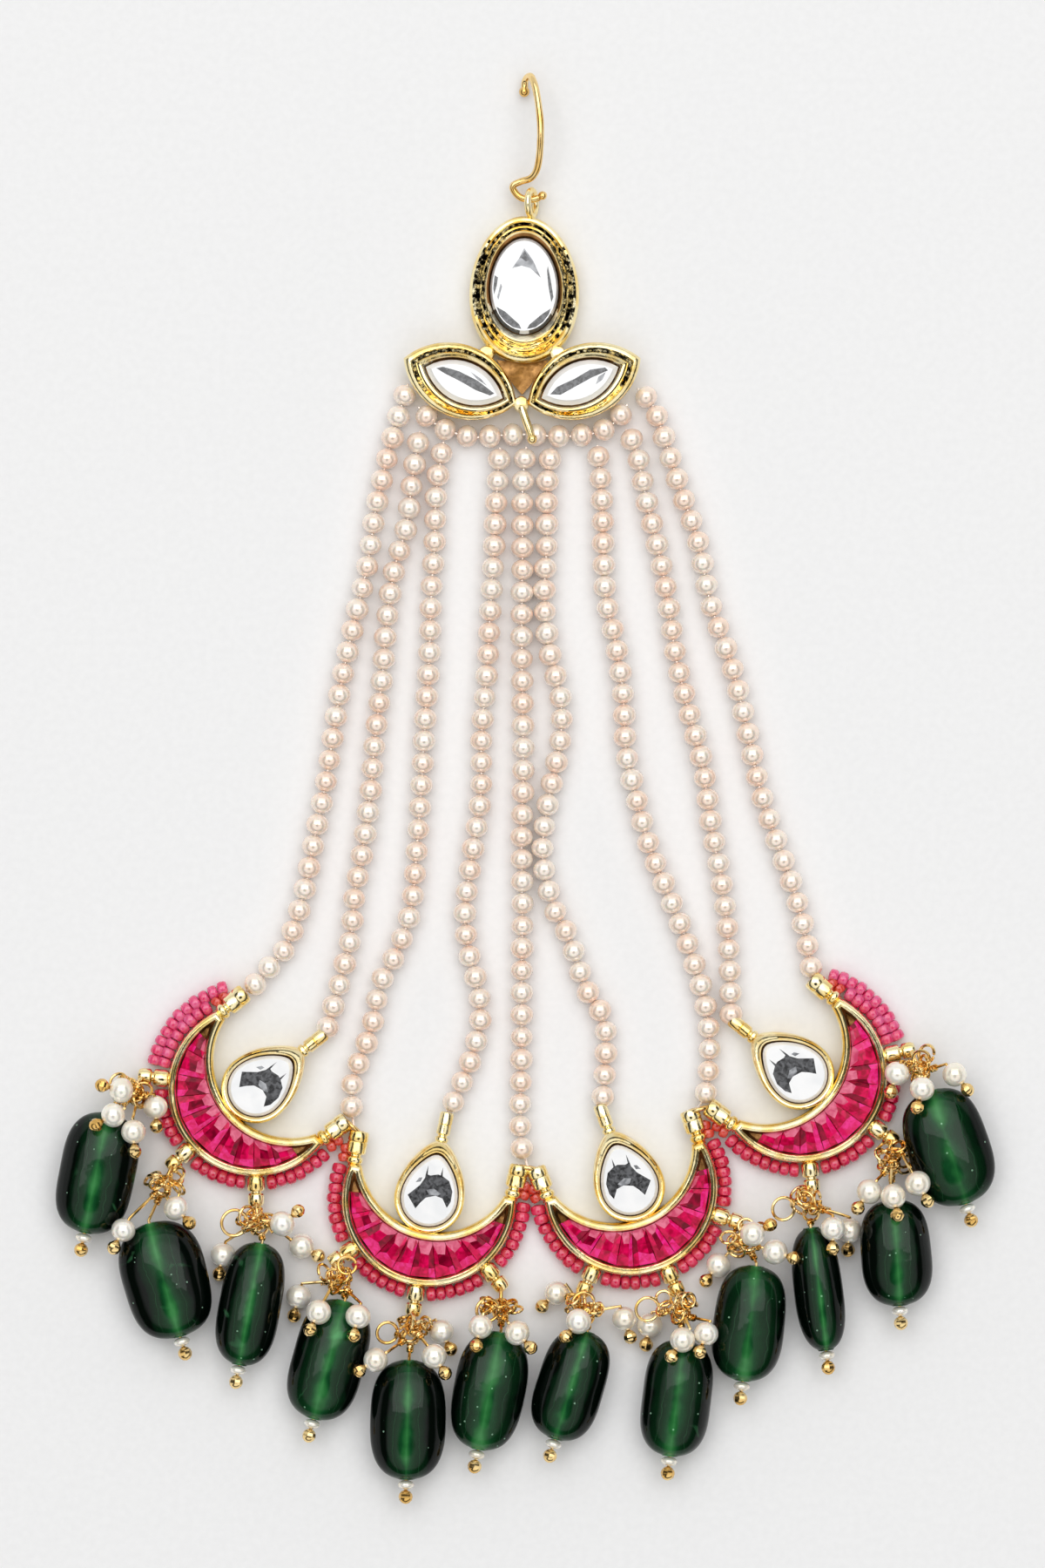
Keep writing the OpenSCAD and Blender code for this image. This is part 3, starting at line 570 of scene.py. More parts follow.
def emerald_glass(name, through):
    """Tumbled bottle-green glass: near black at the edges as painted shade, a paler core as painted light
    where the hole lets light in, swirls, a mould line and pin-prick bubbles. The beads carry how far each
    point lies off the core."""
    finish = bpy.data.materials.new(name)
    finish.use_nodes = True
    tree = finish.node_tree
    tree.nodes.clear()
    place = add(tree, "ShaderNodeTexCoord").outputs["Object"]
    off = add(tree, "ShaderNodeAttribute", {"attribute_name": "off_core"}).outputs["Fac"]
    drift = add(tree, "ShaderNodeTexNoise", {"Scale": 1 / (3.4 * MM), "Detail": 2.5}, {"Vector": place})
    bent = add(tree, "ShaderNodeMath", {"operation": "MULTIPLY_ADD", 1: 0.55},
               {0: drift.outputs["Fac"], 2: off})
    # Painted light and shade: pale green at the core, near black towards the edges
    depth = add(tree, "ShaderNodeValToRGB", {"stops": [
        (0.2, "#4C9A58"), (0.31, "#2F7A3E"), (0.42, "#16502A"), (0.56, "#0D3A1C"), (0.685, "#0A2E16"),
        (0.7, "#214F2F"), (0.715, "#0A2E16"), (0.92, "#062010"), (1.0, "#020A05")]},
        {"Fac": bent.outputs["Value"]})
    swirl = add(tree, "ShaderNodeTexNoise", {"Scale": 1 / (3.4 * MM), "Detail": 3.0, "Distortion": 1.6,
                                             "noise_type": "RIDGED_MULTIFRACTAL"}, {"Vector": place})
    wisp = add(tree, "ShaderNodeValToRGB", {"stops": [(0.42, "#000000"), (0.9, "#4A8C5C")]},
               {"Fac": swirl.outputs["Fac"]})
    cells = add(tree, "ShaderNodeTexVoronoi", {"Scale": 1 / (1.5 * MM)}, {"Vector": place})
    bubble = add(tree, "ShaderNodeValToRGB", {"stops": [(0.055, "#9FC8AC"), (0.085, "#000000")]},
               {"Fac": cells.outputs["Distance"]})
    veiled = add(tree, "ShaderNodeMix", {"data_type": "RGBA", "blend_type": "ADD", 0: 0.8},
                 {6: depth.outputs["Color"], 7: wisp.outputs["Color"]})
    seeded = add(tree, "ShaderNodeMix", {"data_type": "RGBA", "blend_type": "ADD", 0: 0.8},
                 {6: veiled.outputs[2], 7: bubble.outputs["Color"]})
    relief = add(tree, "ShaderNodeBump", {"Strength": 0.4, "Distance": 0.15 * MM},
                 {"Height": drift.outputs["Fac"]})
    glass = add(tree, "ShaderNodeBsdfPrincipled",
                {"Roughness": 0.05, "Transmission Weight": through, "IOR": 1.5, "Specular IOR Level": 0.12},
                {"Base Color": seeded.outputs[2], "Normal": relief.outputs["Normal"]})
    add(tree, "ShaderNodeOutputMaterial", links={"Surface": glass.outputs["BSDF"]})
    return finish


def backdrop_paper(name):
    """Matt white card: even, with a grain that barely shows."""
    finish, tree, _, tone = clouded(name, "#F3F3F3", "#F0F0F0", 0.8, 2.0, 0.2)
    card = add(tree, "ShaderNodeBsdfPrincipled", {"Roughness": 0.9, "Specular IOR Level": 0.1},
               {"Base Color": tone})
    add(tree, "ShaderNodeOutputMaterial", links={"Surface": card.outputs["BSDF"]})
    return finish


# Plated brass: pale and deep tone, roughness, then the size and depth of its ripples in mm
polished_gold = plated_brass("polished_gold_plated_brass", "#FFF0BE", "#F8D888", 0.13, 0.8, 0.07)
wire_gold = plated_brass("gold_plated_drawn_wire", "#FBDC9C", "#E6B868", 0.14, 0.5, 0.02)
# Its near-black flecks are painted shade and painted dark reflection in the hammer marks
hammered_gold_painted_shade = plated_brass("hammered_gold_with_painted_shade", "#FFF3CC", "#120D05", 0.12, 0.16, 0.55,
                             fleck_mm=0.5, fleck_turn=0.53)
# Pale and brown copies of the walls' gold: painted light and painted shade
pale_gold_painted_light = plated_brass("gold_wall_painted_light", "#FFF8E4", "#FFE8B4", 0.6, 0.35, 0.03)
brown_gold_painted_shade = plated_brass("gold_wall_painted_shade", "#C2925A", "#8A6232", 0.42, 0.35, 0.05)
# Foiled glass: pale and deep tone, size of its clouds in mm, gloss and shine
# The crystal's grey and dark copies are painted reflections, set facet by facet
crystal = foiled_glass("foiled_crystal_bright", "#FFFFFF", "#F6F7F8", 2.2)
crystal_grey_reflection = foiled_glass("foiled_crystal_painted_grey_reflection", "#B4B6BA", "#75777B", 0.9)
crystal_dark_reflection = foiled_glass("foiled_crystal_painted_dark_reflection", "#626366", "#1C1D1F", 0.5)
foiled_crystal = [crystal, crystal_grey_reflection, crystal_dark_reflection]
# Crimson is the ruby's own colour; the deep, magenta and pink copies are painted shade and painted
# reflections on its facets
ruby_crimson = foiled_glass("foiled_ruby_crimson", "#E40E58", "#A40632", 0.8, 0.15, 0.15)
ruby_painted_shade = foiled_glass("foiled_ruby_painted_shade", "#A00434", "#6C021E", 0.9, 0.15, 0.15)
ruby_painted_bright_reflection = foiled_glass("foiled_ruby_painted_bright_reflection", "#F43090", "#DC0E5C", 0.7, 0.2, 0.2)
ruby_painted_pale_reflection = foiled_glass("foiled_ruby_painted_pale_reflection", "#E4708F", "#CC3C66", 0.9, 0.2, 0.2)
cream_pearl = dipped_pearl("cream_dipped_pearl", "#FFF1E4", "#FFE4D2")
white_pearl = dipped_pearl("white_dipped_pearl", "#FFFBF0", "#F8EEDC", 0.16)
seed_red = seed_glass("red_glass_seed", "#FF346A", "#DC1044", 0.2)
seed_pink = seed_glass("pink_red_glass_seed", "#FF6098", "#FA3070", 0.2)
seed_orange = seed_glass("orange_red_glass_seed", "#FF5A48", "#E83828", 0.2)
green_glass = emerald_glass("emerald_tumbled_glass", 0.3)
# The drill hole's frosted wall, painted pale as the light let through the hole
frosted_and_lit_bore = seed_glass("frosted_drill_hole_painted_light", "#8FD6A0", "#4FA868")

# Hook and crown

work = Work()
work.add(drawn_wire(smooth_route(HOOK_ROUTE, 6), HOOK_WIRE / 2, 16, start_ball=HOOK_TIP_R,
                    end_ball=HOOK_KNOB_R))
work.piece("hook_wire", [wire_gold], "gold", ["hook"])

EGG_STEPS = [(0.3, 0.0), (0.0, 0.3), (0.0, 1.9), (0.12, 2.35), (0.35, 2.62), (0.6, 2.68), (0.8, 2.5)]
EGG_GROOVE = [(0.8, 2.5), (0.9, 2.15), (1.0, 2.05), (1.08, 2.2), (1.15, 2.5)]
EGG_RIDGE = [(1.15, 2.5), (1.2, 2.9), (1.3, 3.05), (1.42, 3.0)]
EGG_CHANNEL = [(1.42, 3.0), (1.48, 2.75), (1.56, 2.7), (1.64, 2.9), (1.7, 3.4)]
EGG_BEZEL = [(1.7, 3.4), (1.76, 4.0), (1.86, 4.18), (1.98, 4.1)]
LEAF_STEPS = [(1.45, 0.0), (1.4, 0.2), (1.4, 2.4), (0.3, 2.5), (0.05, 2.62), (0.0, 2.8), (0.06, 3.05),
              (0.3, 3.3), (0.54, 3.36), (0.66, 3.25)]
LEAF_GROOVE = [(0.66, 3.25), (0.74, 2.9), (0.84, 2.85), (0.94, 3.2), (1.02, 3.8)]
LEAF_BEZEL = [(1.02, 3.8), (1.1, 4.08), (1.26, 4.2), (1.46, 4.14), (1.56, 3.9)]
LEAF_WALL = [(1.56, 3.9), (1.7, 3.2), (1.75, SEAT_Z)]


def egg_at(drawn_in):
    """The collet's outline; its inner wall follows the stone, which lies a little nearer the hook."""
    share = min(drawn_in / EGG_WALL_IN, 1.0)
    points = egg(EGG_SIZE[0] - 2 * drawn_in, EGG_SIZE[1] - 2 * drawn_in * (1 + 0.21 * share))
    return points + np.array(EGG_AT) + np.array([0, EGG_STONE_UP * share])


def leaf_at(side, points):
    """Points of a leaf's own frame, set down on its side of the crown."""
    points = turned(points, side * LEAF_TILT)
    points[..., :2] += (LEAF_MIDDLE[0] + side * LEAF_REACH, LEAF_MIDDLE[1])
    return points


def speckled(shape, rows, amount):
    """Hammer marks: the inner rows of a moulding pushed about by a fraction of a millimetre."""
    points = shape[0].copy()
    per = len(points) // rows
    for j in range(1, rows - 1):
        for i in range(per):
            points[j * per + i] += [random.uniform(-amount, amount) for _ in range(3)]
    return points, shape[1]


def painted_lit_foot(shape, finish, middle, reach, bright=POLISHED):
    """The given finish as painted shade, which gives way to a brighter one as painted light, face by face,
    towards the moulding's foot.
    """
    points, faces = shape
    heights = [np.mean([points[i][1] for i in face]) for face in faces]
    return points, faces, [bright if y < middle + random.uniform(-reach, reach) else finish for y in heights]


def painted_shade_flanks(steps, low, high):
    """A band of the egg whose steps from low to high are hammered along its two flanks only, with near-black
    flecks of painted shade there.
    """
    points, faces = moulding(egg_at, steps)
    per = len(points) // len(steps)
    tones = []
    for f, face in enumerate(faces):
        off = abs(np.mean([points[i][1] for i in face]) - EGG_AT[1] - 0.8)
        hammered = low <= f // per < high and off < random.uniform(3.4, 5.6)
        tones.append(HAMMERED_SHADE if hammered else POLISHED)
    return points, faces, tones


work = Work()
# Painted shade: near-black flecks on the egg's flanks and in its grooves, the grooves turning polished as
# painted light towards the lower end
work.add(painted_shade_flanks(EGG_STEPS, 4, 6))
for steps in (EGG_GROOVE, EGG_CHANNEL):
    band = speckled(moulding(egg_at, steps), len(steps), 0.07)
    work.add(painted_lit_foot(band, HAMMERED_SHADE, EGG_AT[1] - 5.2, 1.2))
work.add(moulding(egg_at, EGG_RIDGE), POLISHED)
work.add(painted_shade_flanks(EGG_BEZEL, 0, 2))
# The egg's inner wall slopes from the bezel's lip to just outside the stone; brown above as painted shade,
# pale towards its lower end as painted light
seat = egg(EGG_STONE[0] + 2 * STONE_GAP, EGG_STONE[1] + 2 * STONE_GAP) + [EGG_AT[0], EGG_AT[1] + EGG_STONE_UP]
lip = egg_at(EGG_BEZEL[-1][0])
wall = [(lip, 4.1), (0.55 * lip + 0.45 * seat, 3.95), (0.1 * lip + 0.9 * seat, 3.5), (seat, 3.3),
        (seat, SEAT_Z)]
wall = loft([at_height(flat, z) for flat, z in wall], caps=False)
work.add(painted_lit_foot(wall, SHADE_BROWN, EGG_AT[1] - 2.2, 1.0, bright=LIT_PALE))
# The floor under the stone in brown gold: painted shade
work.add(moulding(egg_at, [(2.6, SEAT_Z), (0.3, 0.0)], floor=True), SHADE_BROWN)
for side in (-1, 1):
    def outline(drawn_in, side=side):
        return leaf(*LEAF_SIZE, drawn_in) - [side * LEAF_STONE_IN * min(drawn_in / 1.4, 1.0), 0]

    def place(points, side=side):
        return leaf_at(side, points)

    work.add(moulding(outline, LEAF_STEPS), POLISHED, place)
    # The leaf's groove: flecks of painted shade, turning polished as painted light towards its lower end
    band = speckled(moulding(outline, LEAF_GROOVE), len(LEAF_GROOVE), 0.04)
    work.add(painted_lit_foot(band, HAMMERED_SHADE, -1.7, 0.9), move=place)
    work.add(moulding(outline, LEAF_BEZEL), POLISHED, place)
    # The leaf's inner wall and floor: brown as painted shade, pale towards the lower end as painted light
    work.add(painted_lit_foot(moulding(outline, LEAF_WALL), SHADE_BROWN, 0.6, 0.4, bright=LIT_PALE), move=place)
    work.add(moulding(outline, [(1.75, SEAT_Z), (1.45, 0.0)], floor=True), SHADE_BROWN, place)
# The post that carries the stem, and the two solder joints beside the egg
SOLDER = [(0.0, 0.75), (0.2, 0.92), (2.3, 0.95), (2.8, 0.8), (3.0, 0.35)]
work.add(turning(SOLDER, (-0.55, 43.8, 0.45), UP))
for side in (-1, 1):
    joint = [(s * 0.85, r) for s, r in SOLDER]
    work.add(turning(joint, (LEAF_MIDDLE[0] + side * 4.1, 49.6, 0.45), UP))
# Painted shadow: a brown sheet laid in the gap between the egg and the leaves, where there is only shade
SHADOW_SHEET = [(-3.4, 49.0), (-1.6, 48.75), (1.0, 48.7), (2.6, 49.0), (0.6, 46.2), (-0.45, 45.0), (-1.5, 46.2)]
work.add(loft([[(x, y, z) for x, y in SHADOW_SHEET] for z in (0.35, 0.9)]), SHADE_BROWN)
STEM = [(-0.5, 43.4, 3.1), (-0.2, 42.5, 3.15), (0.3, 41.1, 3.2), (0.7, 39.8, 3.2)]
work.add(drawn_wire(STEM, 0.46, 16, end_ball=0.58))
lean = math.radians(18)
work.add(wire_ring(TOP_RING_AT, (math.cos(lean), 0, math.sin(lean)), 1.45, 0.4, 14, 48))
work.piece("crown_setting", [polished_gold, hammered_gold_painted_shade, brown_gold_painted_shade, pale_gold_painted_light], "gold", ["crown"])

# The egg's stone: bright table, with painted reflections of the studio: a grey arrowhead by the hook, dark
# facets round its sides and foot
girdle = egg(*EGG_STONE, 48)
table = egg(7.3, 10.3, 48)
EGG_PATCHES = [
    ([(0.0, 4.3), (-0.55, 3.2), (-1.4, 2.0), (-0.3, 2.3), (0.7, 2.0), (1.9, 0.9), (1.0, 2.9)], GREY_REFLECTION),
    ([(0.05, 4.05), (-0.35, 3.2), (0.2, 2.75), (0.6, 3.0)], DARK_REFLECTION),
    ([(-3.4, 1.2), (-3.0, 0.95), (-3.15, 0.0), (-3.45, -1.0), (-3.55, -0.3)], DARK_REFLECTION),
    ([(-2.7, 0.3), (-2.55, -0.1), (-2.95, -1.6), (-3.1, -1.3)], GREY_REFLECTION),
    ([(2.7, 2.3), (3.05, 0.6), (3.35, -1.3), (3.1, -1.9), (2.75, 0.0), (2.6, 1.7)], DARK_REFLECTION),
    ([(-3.2, -2.4), (-2.2, -2.95), (-0.55, -4.45), (-0.35, -4.95), (-1.25, -4.78), (-2.15, -4.15),
      (-2.85, -3.3)], DARK_REFLECTION),
    ([(3.05, -2.6), (2.1, -3.2), (0.6, -4.45), (0.3, -4.95), (1.25, -4.78), (2.15, -4.15),
      (2.8, -3.3)], DARK_REFLECTION)]
# Painted reflection: the crown facets round the egg's foot take the dark tone
EGG_TONES = [DARK_REFLECTION if 28 <= i <= 34 or 37 <= i <= 42 else CLEAR for i in range(48)]
work = Work()
work.add(faceted_crown(girdle, table, 1.7, 3.6, 4.7, EGG_PATCHES, EGG_TONES),
         move=lambda p: p + np.array([EGG_AT[0], EGG_AT[1] + EGG_STONE_UP, 0]))
work.piece("egg_crystal", foiled_crystal, "clear_stone", ["crown_stone"], crease=5)

# Painted reflections on the leaf stones' tables: a dark streak along each and a small grey patch
LEAF_PATCHES = {
    -1: [([(-3.6, 0.3), (-2.9, 0.75), (-1.0, 0.95), (1.4, 0.75), (3.7, 0.1), (3.3, -0.3), (1.6, -0.35),
           (-0.6, -0.05), (-2.4, 0.1)], DARK_REFLECTION), ([(0.2, 1.4), (1.6, 1.1), (2.6, 0.6), (1.3, 0.85)], GREY_REFLECTION)],
    1: [([(-3.7, 0.0), (-2.6, 0.5), (-0.4, 0.6), (1.6, 0.9), (3.3, 0.5), (3.5, 0.05), (1.5, 0.0),
          (-0.6, -0.25), (-2.6, -0.5)], DARK_REFLECTION), ([(2.2, -0.2), (3.2, 0.0), (2.5, -0.7), (1.6, -0.9)], GREY_REFLECTION)]}
for side, hand in ((-1, "left"), (1, "right")):
    work = Work()
    work.add(faceted_crown(leaf(9.5, 4.7, 0, 24), leaf(8.1, 3.6, 0, 24), 1.7, 3.6, 4.3, LEAF_PATCHES[side]),
             move=lambda p, side=side: leaf_at(side, p + np.array([-side * LEAF_STONE_IN, 0, 0])))
    work.piece(f"leaf_crystal_{hand}", foiled_crystal, "clear_stone", [f"leaf_stone_{hand}"], crease=5)

# Strands


def string_of_pearls(route, name, nodes, tie=None, short=0.0):
    """Dipped pearls threaded along a route, each a little out of round, on a thread tied to a bail."""
    tail = []
    if tie is not None:
        ahead = unit(tie - route[-1])
        end = tie - short * ahead
        route = route[:-1] + [tuple((np.array(route[-1]) + end) / 2), tuple(end)]
        tail = [lift(tie + 0.4 * ahead, BAIL_Z)]
    line = smooth_route([(x, y, STRING_Z) for x, y in route], 10)
    lengths = np.concatenate([[0], np.cumsum(np.linalg.norm(np.diff(line, axis=0), axis=1))])
    count = round(lengths[-1] / STRAND_PITCH)
    work = Work()
    for i in range(count):
        s = (i + 0.5) * lengths[-1] / count
        at = np.array([np.interp(s, lengths, line[:, c]) for c in range(3)])
        ahead = np.array([np.interp(s + 0.3, lengths, line[:, c]) for c in range(3)])
        behind = np.array([np.interp(s - 0.3, lengths, line[:, c]) for c in range(3)])
        way = unit(ahead - behind) + [random.uniform(-0.06, 0.06) for _ in range(3)]
        r = STRAND_PEARL_D / 2 * random.uniform(0.965, 1.02)
        at[2] = r + 0.04
        work.add(bead(at, r, way, 20, 11, bore=0.24, squash=random.uniform(0.91, 0.95)))
    work.add(drawn_wire(list(line) + tail, THREAD_R, 6))
    work.piece(name, [cream_pearl], "cream_pearl", nodes)


def horn_foot(side):
    """Where a horn bail stands on its crescent, and which way it points."""
    return np.array([side * HORN_X, HORN_CUT - 0.3]), polar(1, 90 - side * HORN_LEAN)


def horn_tip(k, side):
    """Where a horn bail's barrel ends."""
    foot, way = horn_foot(side)
    return on_crescent(k, foot + HORN_BARREL_END * way)


string_of_pearls(COLLAR_ROUTE, "collar_pearls", ["pearl_collar"])
for i, route in enumerate(STRAND_ROUTES, 1):
    # even strands end at a pear bail, the outer two at a horn bail, the rest between two horn bails
    k = (i + 1) // 2
    if i % 2 == 0:
        tie, short = on_crescent(i // 2, np.array([0, PEAR_BAIL_AT + PEAR_BARREL_END])), 0.1
    elif i in (1, 9):
        tie, short = horn_tip(min(k, 4), -1 if i == 1 else 1), 0.2
    else:
        tie, short = (horn_tip(k - 1, 1) + horn_tip(k, -1)) / 2, 0.9
    string_of_pearls(route, f"strand_pearls_{i}", [f"pearl_strand_{i}"], tie, short)

# Crescents

RIM_STEPS = [(0.35, 0.0), (0.0, 0.35), (0.0, 2.45), (0.1, 2.8), (0.24, 2.95), (0.4, 2.86), (0.52, 2.9),
             (0.66, 3.0), (0.8, 2.92), (0.88, 2.7)]
RIM_WALL = [(0.88, 2.7), (1.06, 2.2), (1.12, FLOOR_T)]
RIM_FLOOR = [(1.12, FLOOR_T), (0.35, 0.0)]
PEAR_STEPS = [(0.2, 0.0), (0.0, 0.3), (0.0, 2.9), (0.1, 3.25), (0.3, 3.5), (0.45, 3.48), (0.6, 3.3),
              (0.68, 3.1)]
PEAR_WALL = [(0.68, 3.1), (0.78, 2.6), (0.8, FLOOR_T)]
PEAR_FLOOR = [(0.8, FLOOR_T), (0.2, 0.0)]
# (distance along, radius) of a bail: a root or bead, a groove, then the barrel that hides the eye
DROP_BAIL = [(0.0, 0.9), (0.3, 0.72), (0.42, 0.72), (0.52, 0.92), (0.7, 1.0), (1.9, 1.0), (2.08, 0.9),
             (2.16, 0.62), (2.34, 0.62), (2.44, 0.84), (2.6, 0.94), (3.5, 0.92), (3.85, 0.74), (3.98, 0.4)]
HORN_BAIL = [(0.0, 0.7), (0.3, 0.6), (0.42, 0.84), (0.62, 0.98), (0.95, 0.98), (1.15, 0.84), (1.25, 0.66),
             (1.4, 0.66), (1.5, 0.98), (1.68, 1.14), (2.8, 1.16), (2.92, 1.08), (3.04, 1.16), (3.9, 1.14),
             (4.12, 1.0), (HORN_BARREL_END, 0.62), (3.7, 0.56)]
PEAR_BAIL = [(0.0, 0.6), (0.25, 0.5), (0.38, 0.66), (0.55, 0.8), (0.85, 0.78), (0.98, 0.54), (1.12, 0.54),
             (1.22, 0.7), (1.36, 0.8), (2.3, 0.8), (2.4, 0.7), (2.5, 0.8), (3.6, 0.8), (3.82, 0.68),
             (PEAR_BARREL_END, 0.44), (3.4, 0.4)]


def crescent_outline(drawn_in):
    """The crescent's outline drawn in, a little faster at the mouth, whose rim is wider."""
    return crescent(drawn_in, drawn_in * INNER_RIM / OUTER_RIM)


def pear_outline(drawn_in):
    """The pear collet's outline drawn in."""
    return pear(PEAR_R - drawn_in, PEAR_TIP - 2 * drawn_in) + np.array([0, PEAR_AT])


def bail(work, profile, start, way, place):
    """Adds a turned bail that lies along a way from its foot."""
    work.add(turning(profile, lift(start, BAIL_Z), lift(way, 0), 24), 0, place)


# the dark studio mirrored in the pear's foil: a broad band with two feet and two thin spikes
PEAR_PATCHES = [
    ([(-1.3, -1.45), (-2.5, -0.1), (-1.34, 1.3), (-0.95, 2.2), (-0.95, 2.7), (-0.87, 3.7), (-0.72, 2.65),
      (-0.4, 2.6), (0.45, 2.9), (0.75, 2.85), (0.82, 3.8), (1.0, 2.8), (1.85, 2.4), (2.45, 1.3), (2.5, 0.1),
      (2.2, -0.65), (1.5, 0.3), (0.64, 0.45), (-0.4, 0.0), (-0.9, -0.7)], DARK_REFLECTION),
    ([(-1.9, 1.5), (-1.6, 2.1), (-1.25, 2.2), (-1.35, 1.7)], GREY_REFLECTION),
    ([(-0.5, 0.9), (0.3, 1.2), (1.2, 0.8), (0.9, 0.5), (-0.1, 0.4)], GREY_REFLECTION)]
for k in range(1, 5):
    def place(points, k=k):
        return on_crescent(k, points)

    work = Work()
    for outline, steps, wall, ground in ((crescent_outline, RIM_STEPS, RIM_WALL, RIM_FLOOR),
                                         (pear_outline, PEAR_STEPS, PEAR_WALL, PEAR_FLOOR)):
        work.add(moulding(outline, steps), RIM, place)
        # The walls and floors take the brown gold: painted shade in the recesses
        work.add(moulding(outline, wall), WALL, place)
        work.add(moulding(outline, ground, floor=True), WALL, place)
    for a in DROP_ANGLES:
        bail(work, DROP_BAIL, polar(DROP_BAIL_AT, a), polar(1, a), place)
    for side in (-1, 1):
        bail(work, HORN_BAIL, *horn_foot(side), place)
    bail(work, PEAR_BAIL, (0, PEAR_BAIL_AT), (0, 1), place)
    work.piece(f"crescent_setting_{k}", [polished_gold, brown_gold_painted_shade], "gold", [f"crescent_{k}"])

    work = Work()
    flip = 1 if k < 3 else -1
    mirrored = [([(flip * x, y) for x, y in loop], tone) for loop, tone in PEAR_PATCHES]
    work.add(faceted_crown(pear(3.25, 5.05, 36), pear(2.9, 4.6, 36), FLOOR_T + 0.1, 2.9, 3.4, mirrored),
             move=lambda p, k=k: on_crescent(k, p + np.array([0, PEAR_AT, 0])))
    work.piece(f"pear_crystal_{k}", foiled_crystal, "clear_stone", [f"pear_stone_{k}"],
               crease=5)

# Rubies and seeds


def tapered_ruby(a, b, pick):
    """A tapered baguette between two angles, its facets tinted as painted reflection and shade: a pale facet
    by the mouth, a bright one by the outer rim, deep sides and base.
    """
    out = CRESCENT_R - OUTER_RIM + 0.1
    corners = [polar(channel_in(a, -0.1), a), polar(out, a), polar(out, b), polar(channel_in(b, -0.1), b)]

    def spot(u, v, z):
        """u runs from the mouth to the outer rim, v from one side to the other."""
        low = corners[0] * (1 - u) + corners[1] * u
        high = corners[3] * (1 - u) + corners[2] * u
        return lift(low * (1 - v) + high * v, z)

    left, right = pick.uniform(0.2, 0.34), pick.uniform(0.66, 0.8)
    low_left, low_right = pick.uniform(0.22, 0.4), pick.uniform(0.22, 0.4)
    grid = [[spot(0, 0, 2.5), spot(0, left, 2.5), spot(0, right, 2.5), spot(0, 1, 2.5)],
            [spot(0.1, 0.02, 2.6), spot(low_left, left, 2.86), spot(low_right, right, 2.84),
             spot(0.1, 0.98, 2.6)],
            [spot(pick.uniform(0.6, 0.8), 0.02, 2.6), spot(pick.uniform(0.6, 0.8), left, 2.8),
             spot(pick.uniform(0.6, 0.8), right, 2.8), spot(pick.uniform(0.6, 0.8), 0.98, 2.6)],
            [spot(1, 0, 2.4), spot(1, left, 2.4), spot(1, right, 2.4), spot(1, 1, 2.4)]]
    base = [spot(u, v, FLOOR_T + 0.1) for u, v in ((0, 0), (0, 1), (1, 1), (1, 0))]
    points = [p for row in grid for p in row] + base
    faces = [(0, 1, 5), (0, 5, 4), (1, 2, 6, 5), (2, 3, 7), (2, 7, 6),
             (4, 5, 9, 8), (5, 6, 10, 9), (6, 7, 11, 10), (8, 9, 13, 12), (9, 10, 14, 13), (10, 11, 15, 14),
             (0, 4, 8, 12), (3, 15, 11, 7), (16, 17, 3, 2, 1, 0), (18, 19, 12, 13, 14, 15), (17, 18, 15, 3),
             (19, 16, 0, 12), (19, 18, 17, 16)]
    # Crimson is the glass itself; pale and bright are painted reflections, deep is painted shade
    pale, crimson, deep, bright = 3, 0, 1, 2
    finish = [pale, pick.choice([pale, crimson]), pale, pale, pick.choice([pale, crimson]),
              pick.choice([crimson, deep]), pick.choice([crimson, crimson, deep]),
              pick.choice([crimson, deep, bright]),
              pick.choice([bright, crimson]), pick.choice([bright, crimson, crimson]), bright,
              crimson, crimson] + [deep] * 5
    return np.array(points), faces, finish


pick = random.Random(21)
for k in range(1, 5):
    work = Work()
    shifts = [0] + [pick.uniform(-0.16, 0.16) for _ in range(RUBIES - 1)] + [0]
    joins = [RUBY_FROM + (i + shift) * RUBY_SPAN / RUBIES for i, shift in enumerate(shifts)]
    for a, b in zip(joins, joins[1:]):
        work.add(tapered_ruby(a + RUBY_GAP, b - RUBY_GAP, pick), move=lambda p, k=k: on_crescent(k, p))
    work.piece(f"tapered_rubies_{k}", [ruby_crimson, ruby_painted_shade, ruby_painted_bright_reflection, ruby_painted_pale_reflection], "ruby",
               [f"ruby_row_{k}"], crease=5)

SEED = [(-0.5, 0.3), (-0.56, 0.5), (-0.48, 0.72), (-0.24, 0.85), (0.24, 0.85), (0.48, 0.72), (0.56, 0.5),
        (0.5, 0.3)]


def seed_arc(work, k, radius, low, high, z, finish_of):
    """Seed beads threaded along an arc about crescent k, each a little askew."""
    count = round(math.radians(high - low) * radius / SEED_PITCH)
    for i in range(count):
        a = low + (i + 0.5) * (high - low) / count
        at = lift(polar(radius + random.uniform(-0.06, 0.06), a), z)
        way = lift(polar(1, a + 90), 0) + np.array([random.uniform(-0.1, 0.1) for _ in range(3)])
        size = random.uniform(0.94, 1.05)
        work.add(turning([(s * size, r * size) for s, r in SEED], at, way, 14, closed=True), finish_of(a),
                 lambda p: on_crescent(k, p))


def horn_eye(k, side):
    """Where a join ring runs through a horn bail."""
    return on_crescent(k, np.array([side * (HORN_X + 0.1), HORN_CUT + HORN_EYE_UP - 0.3]))


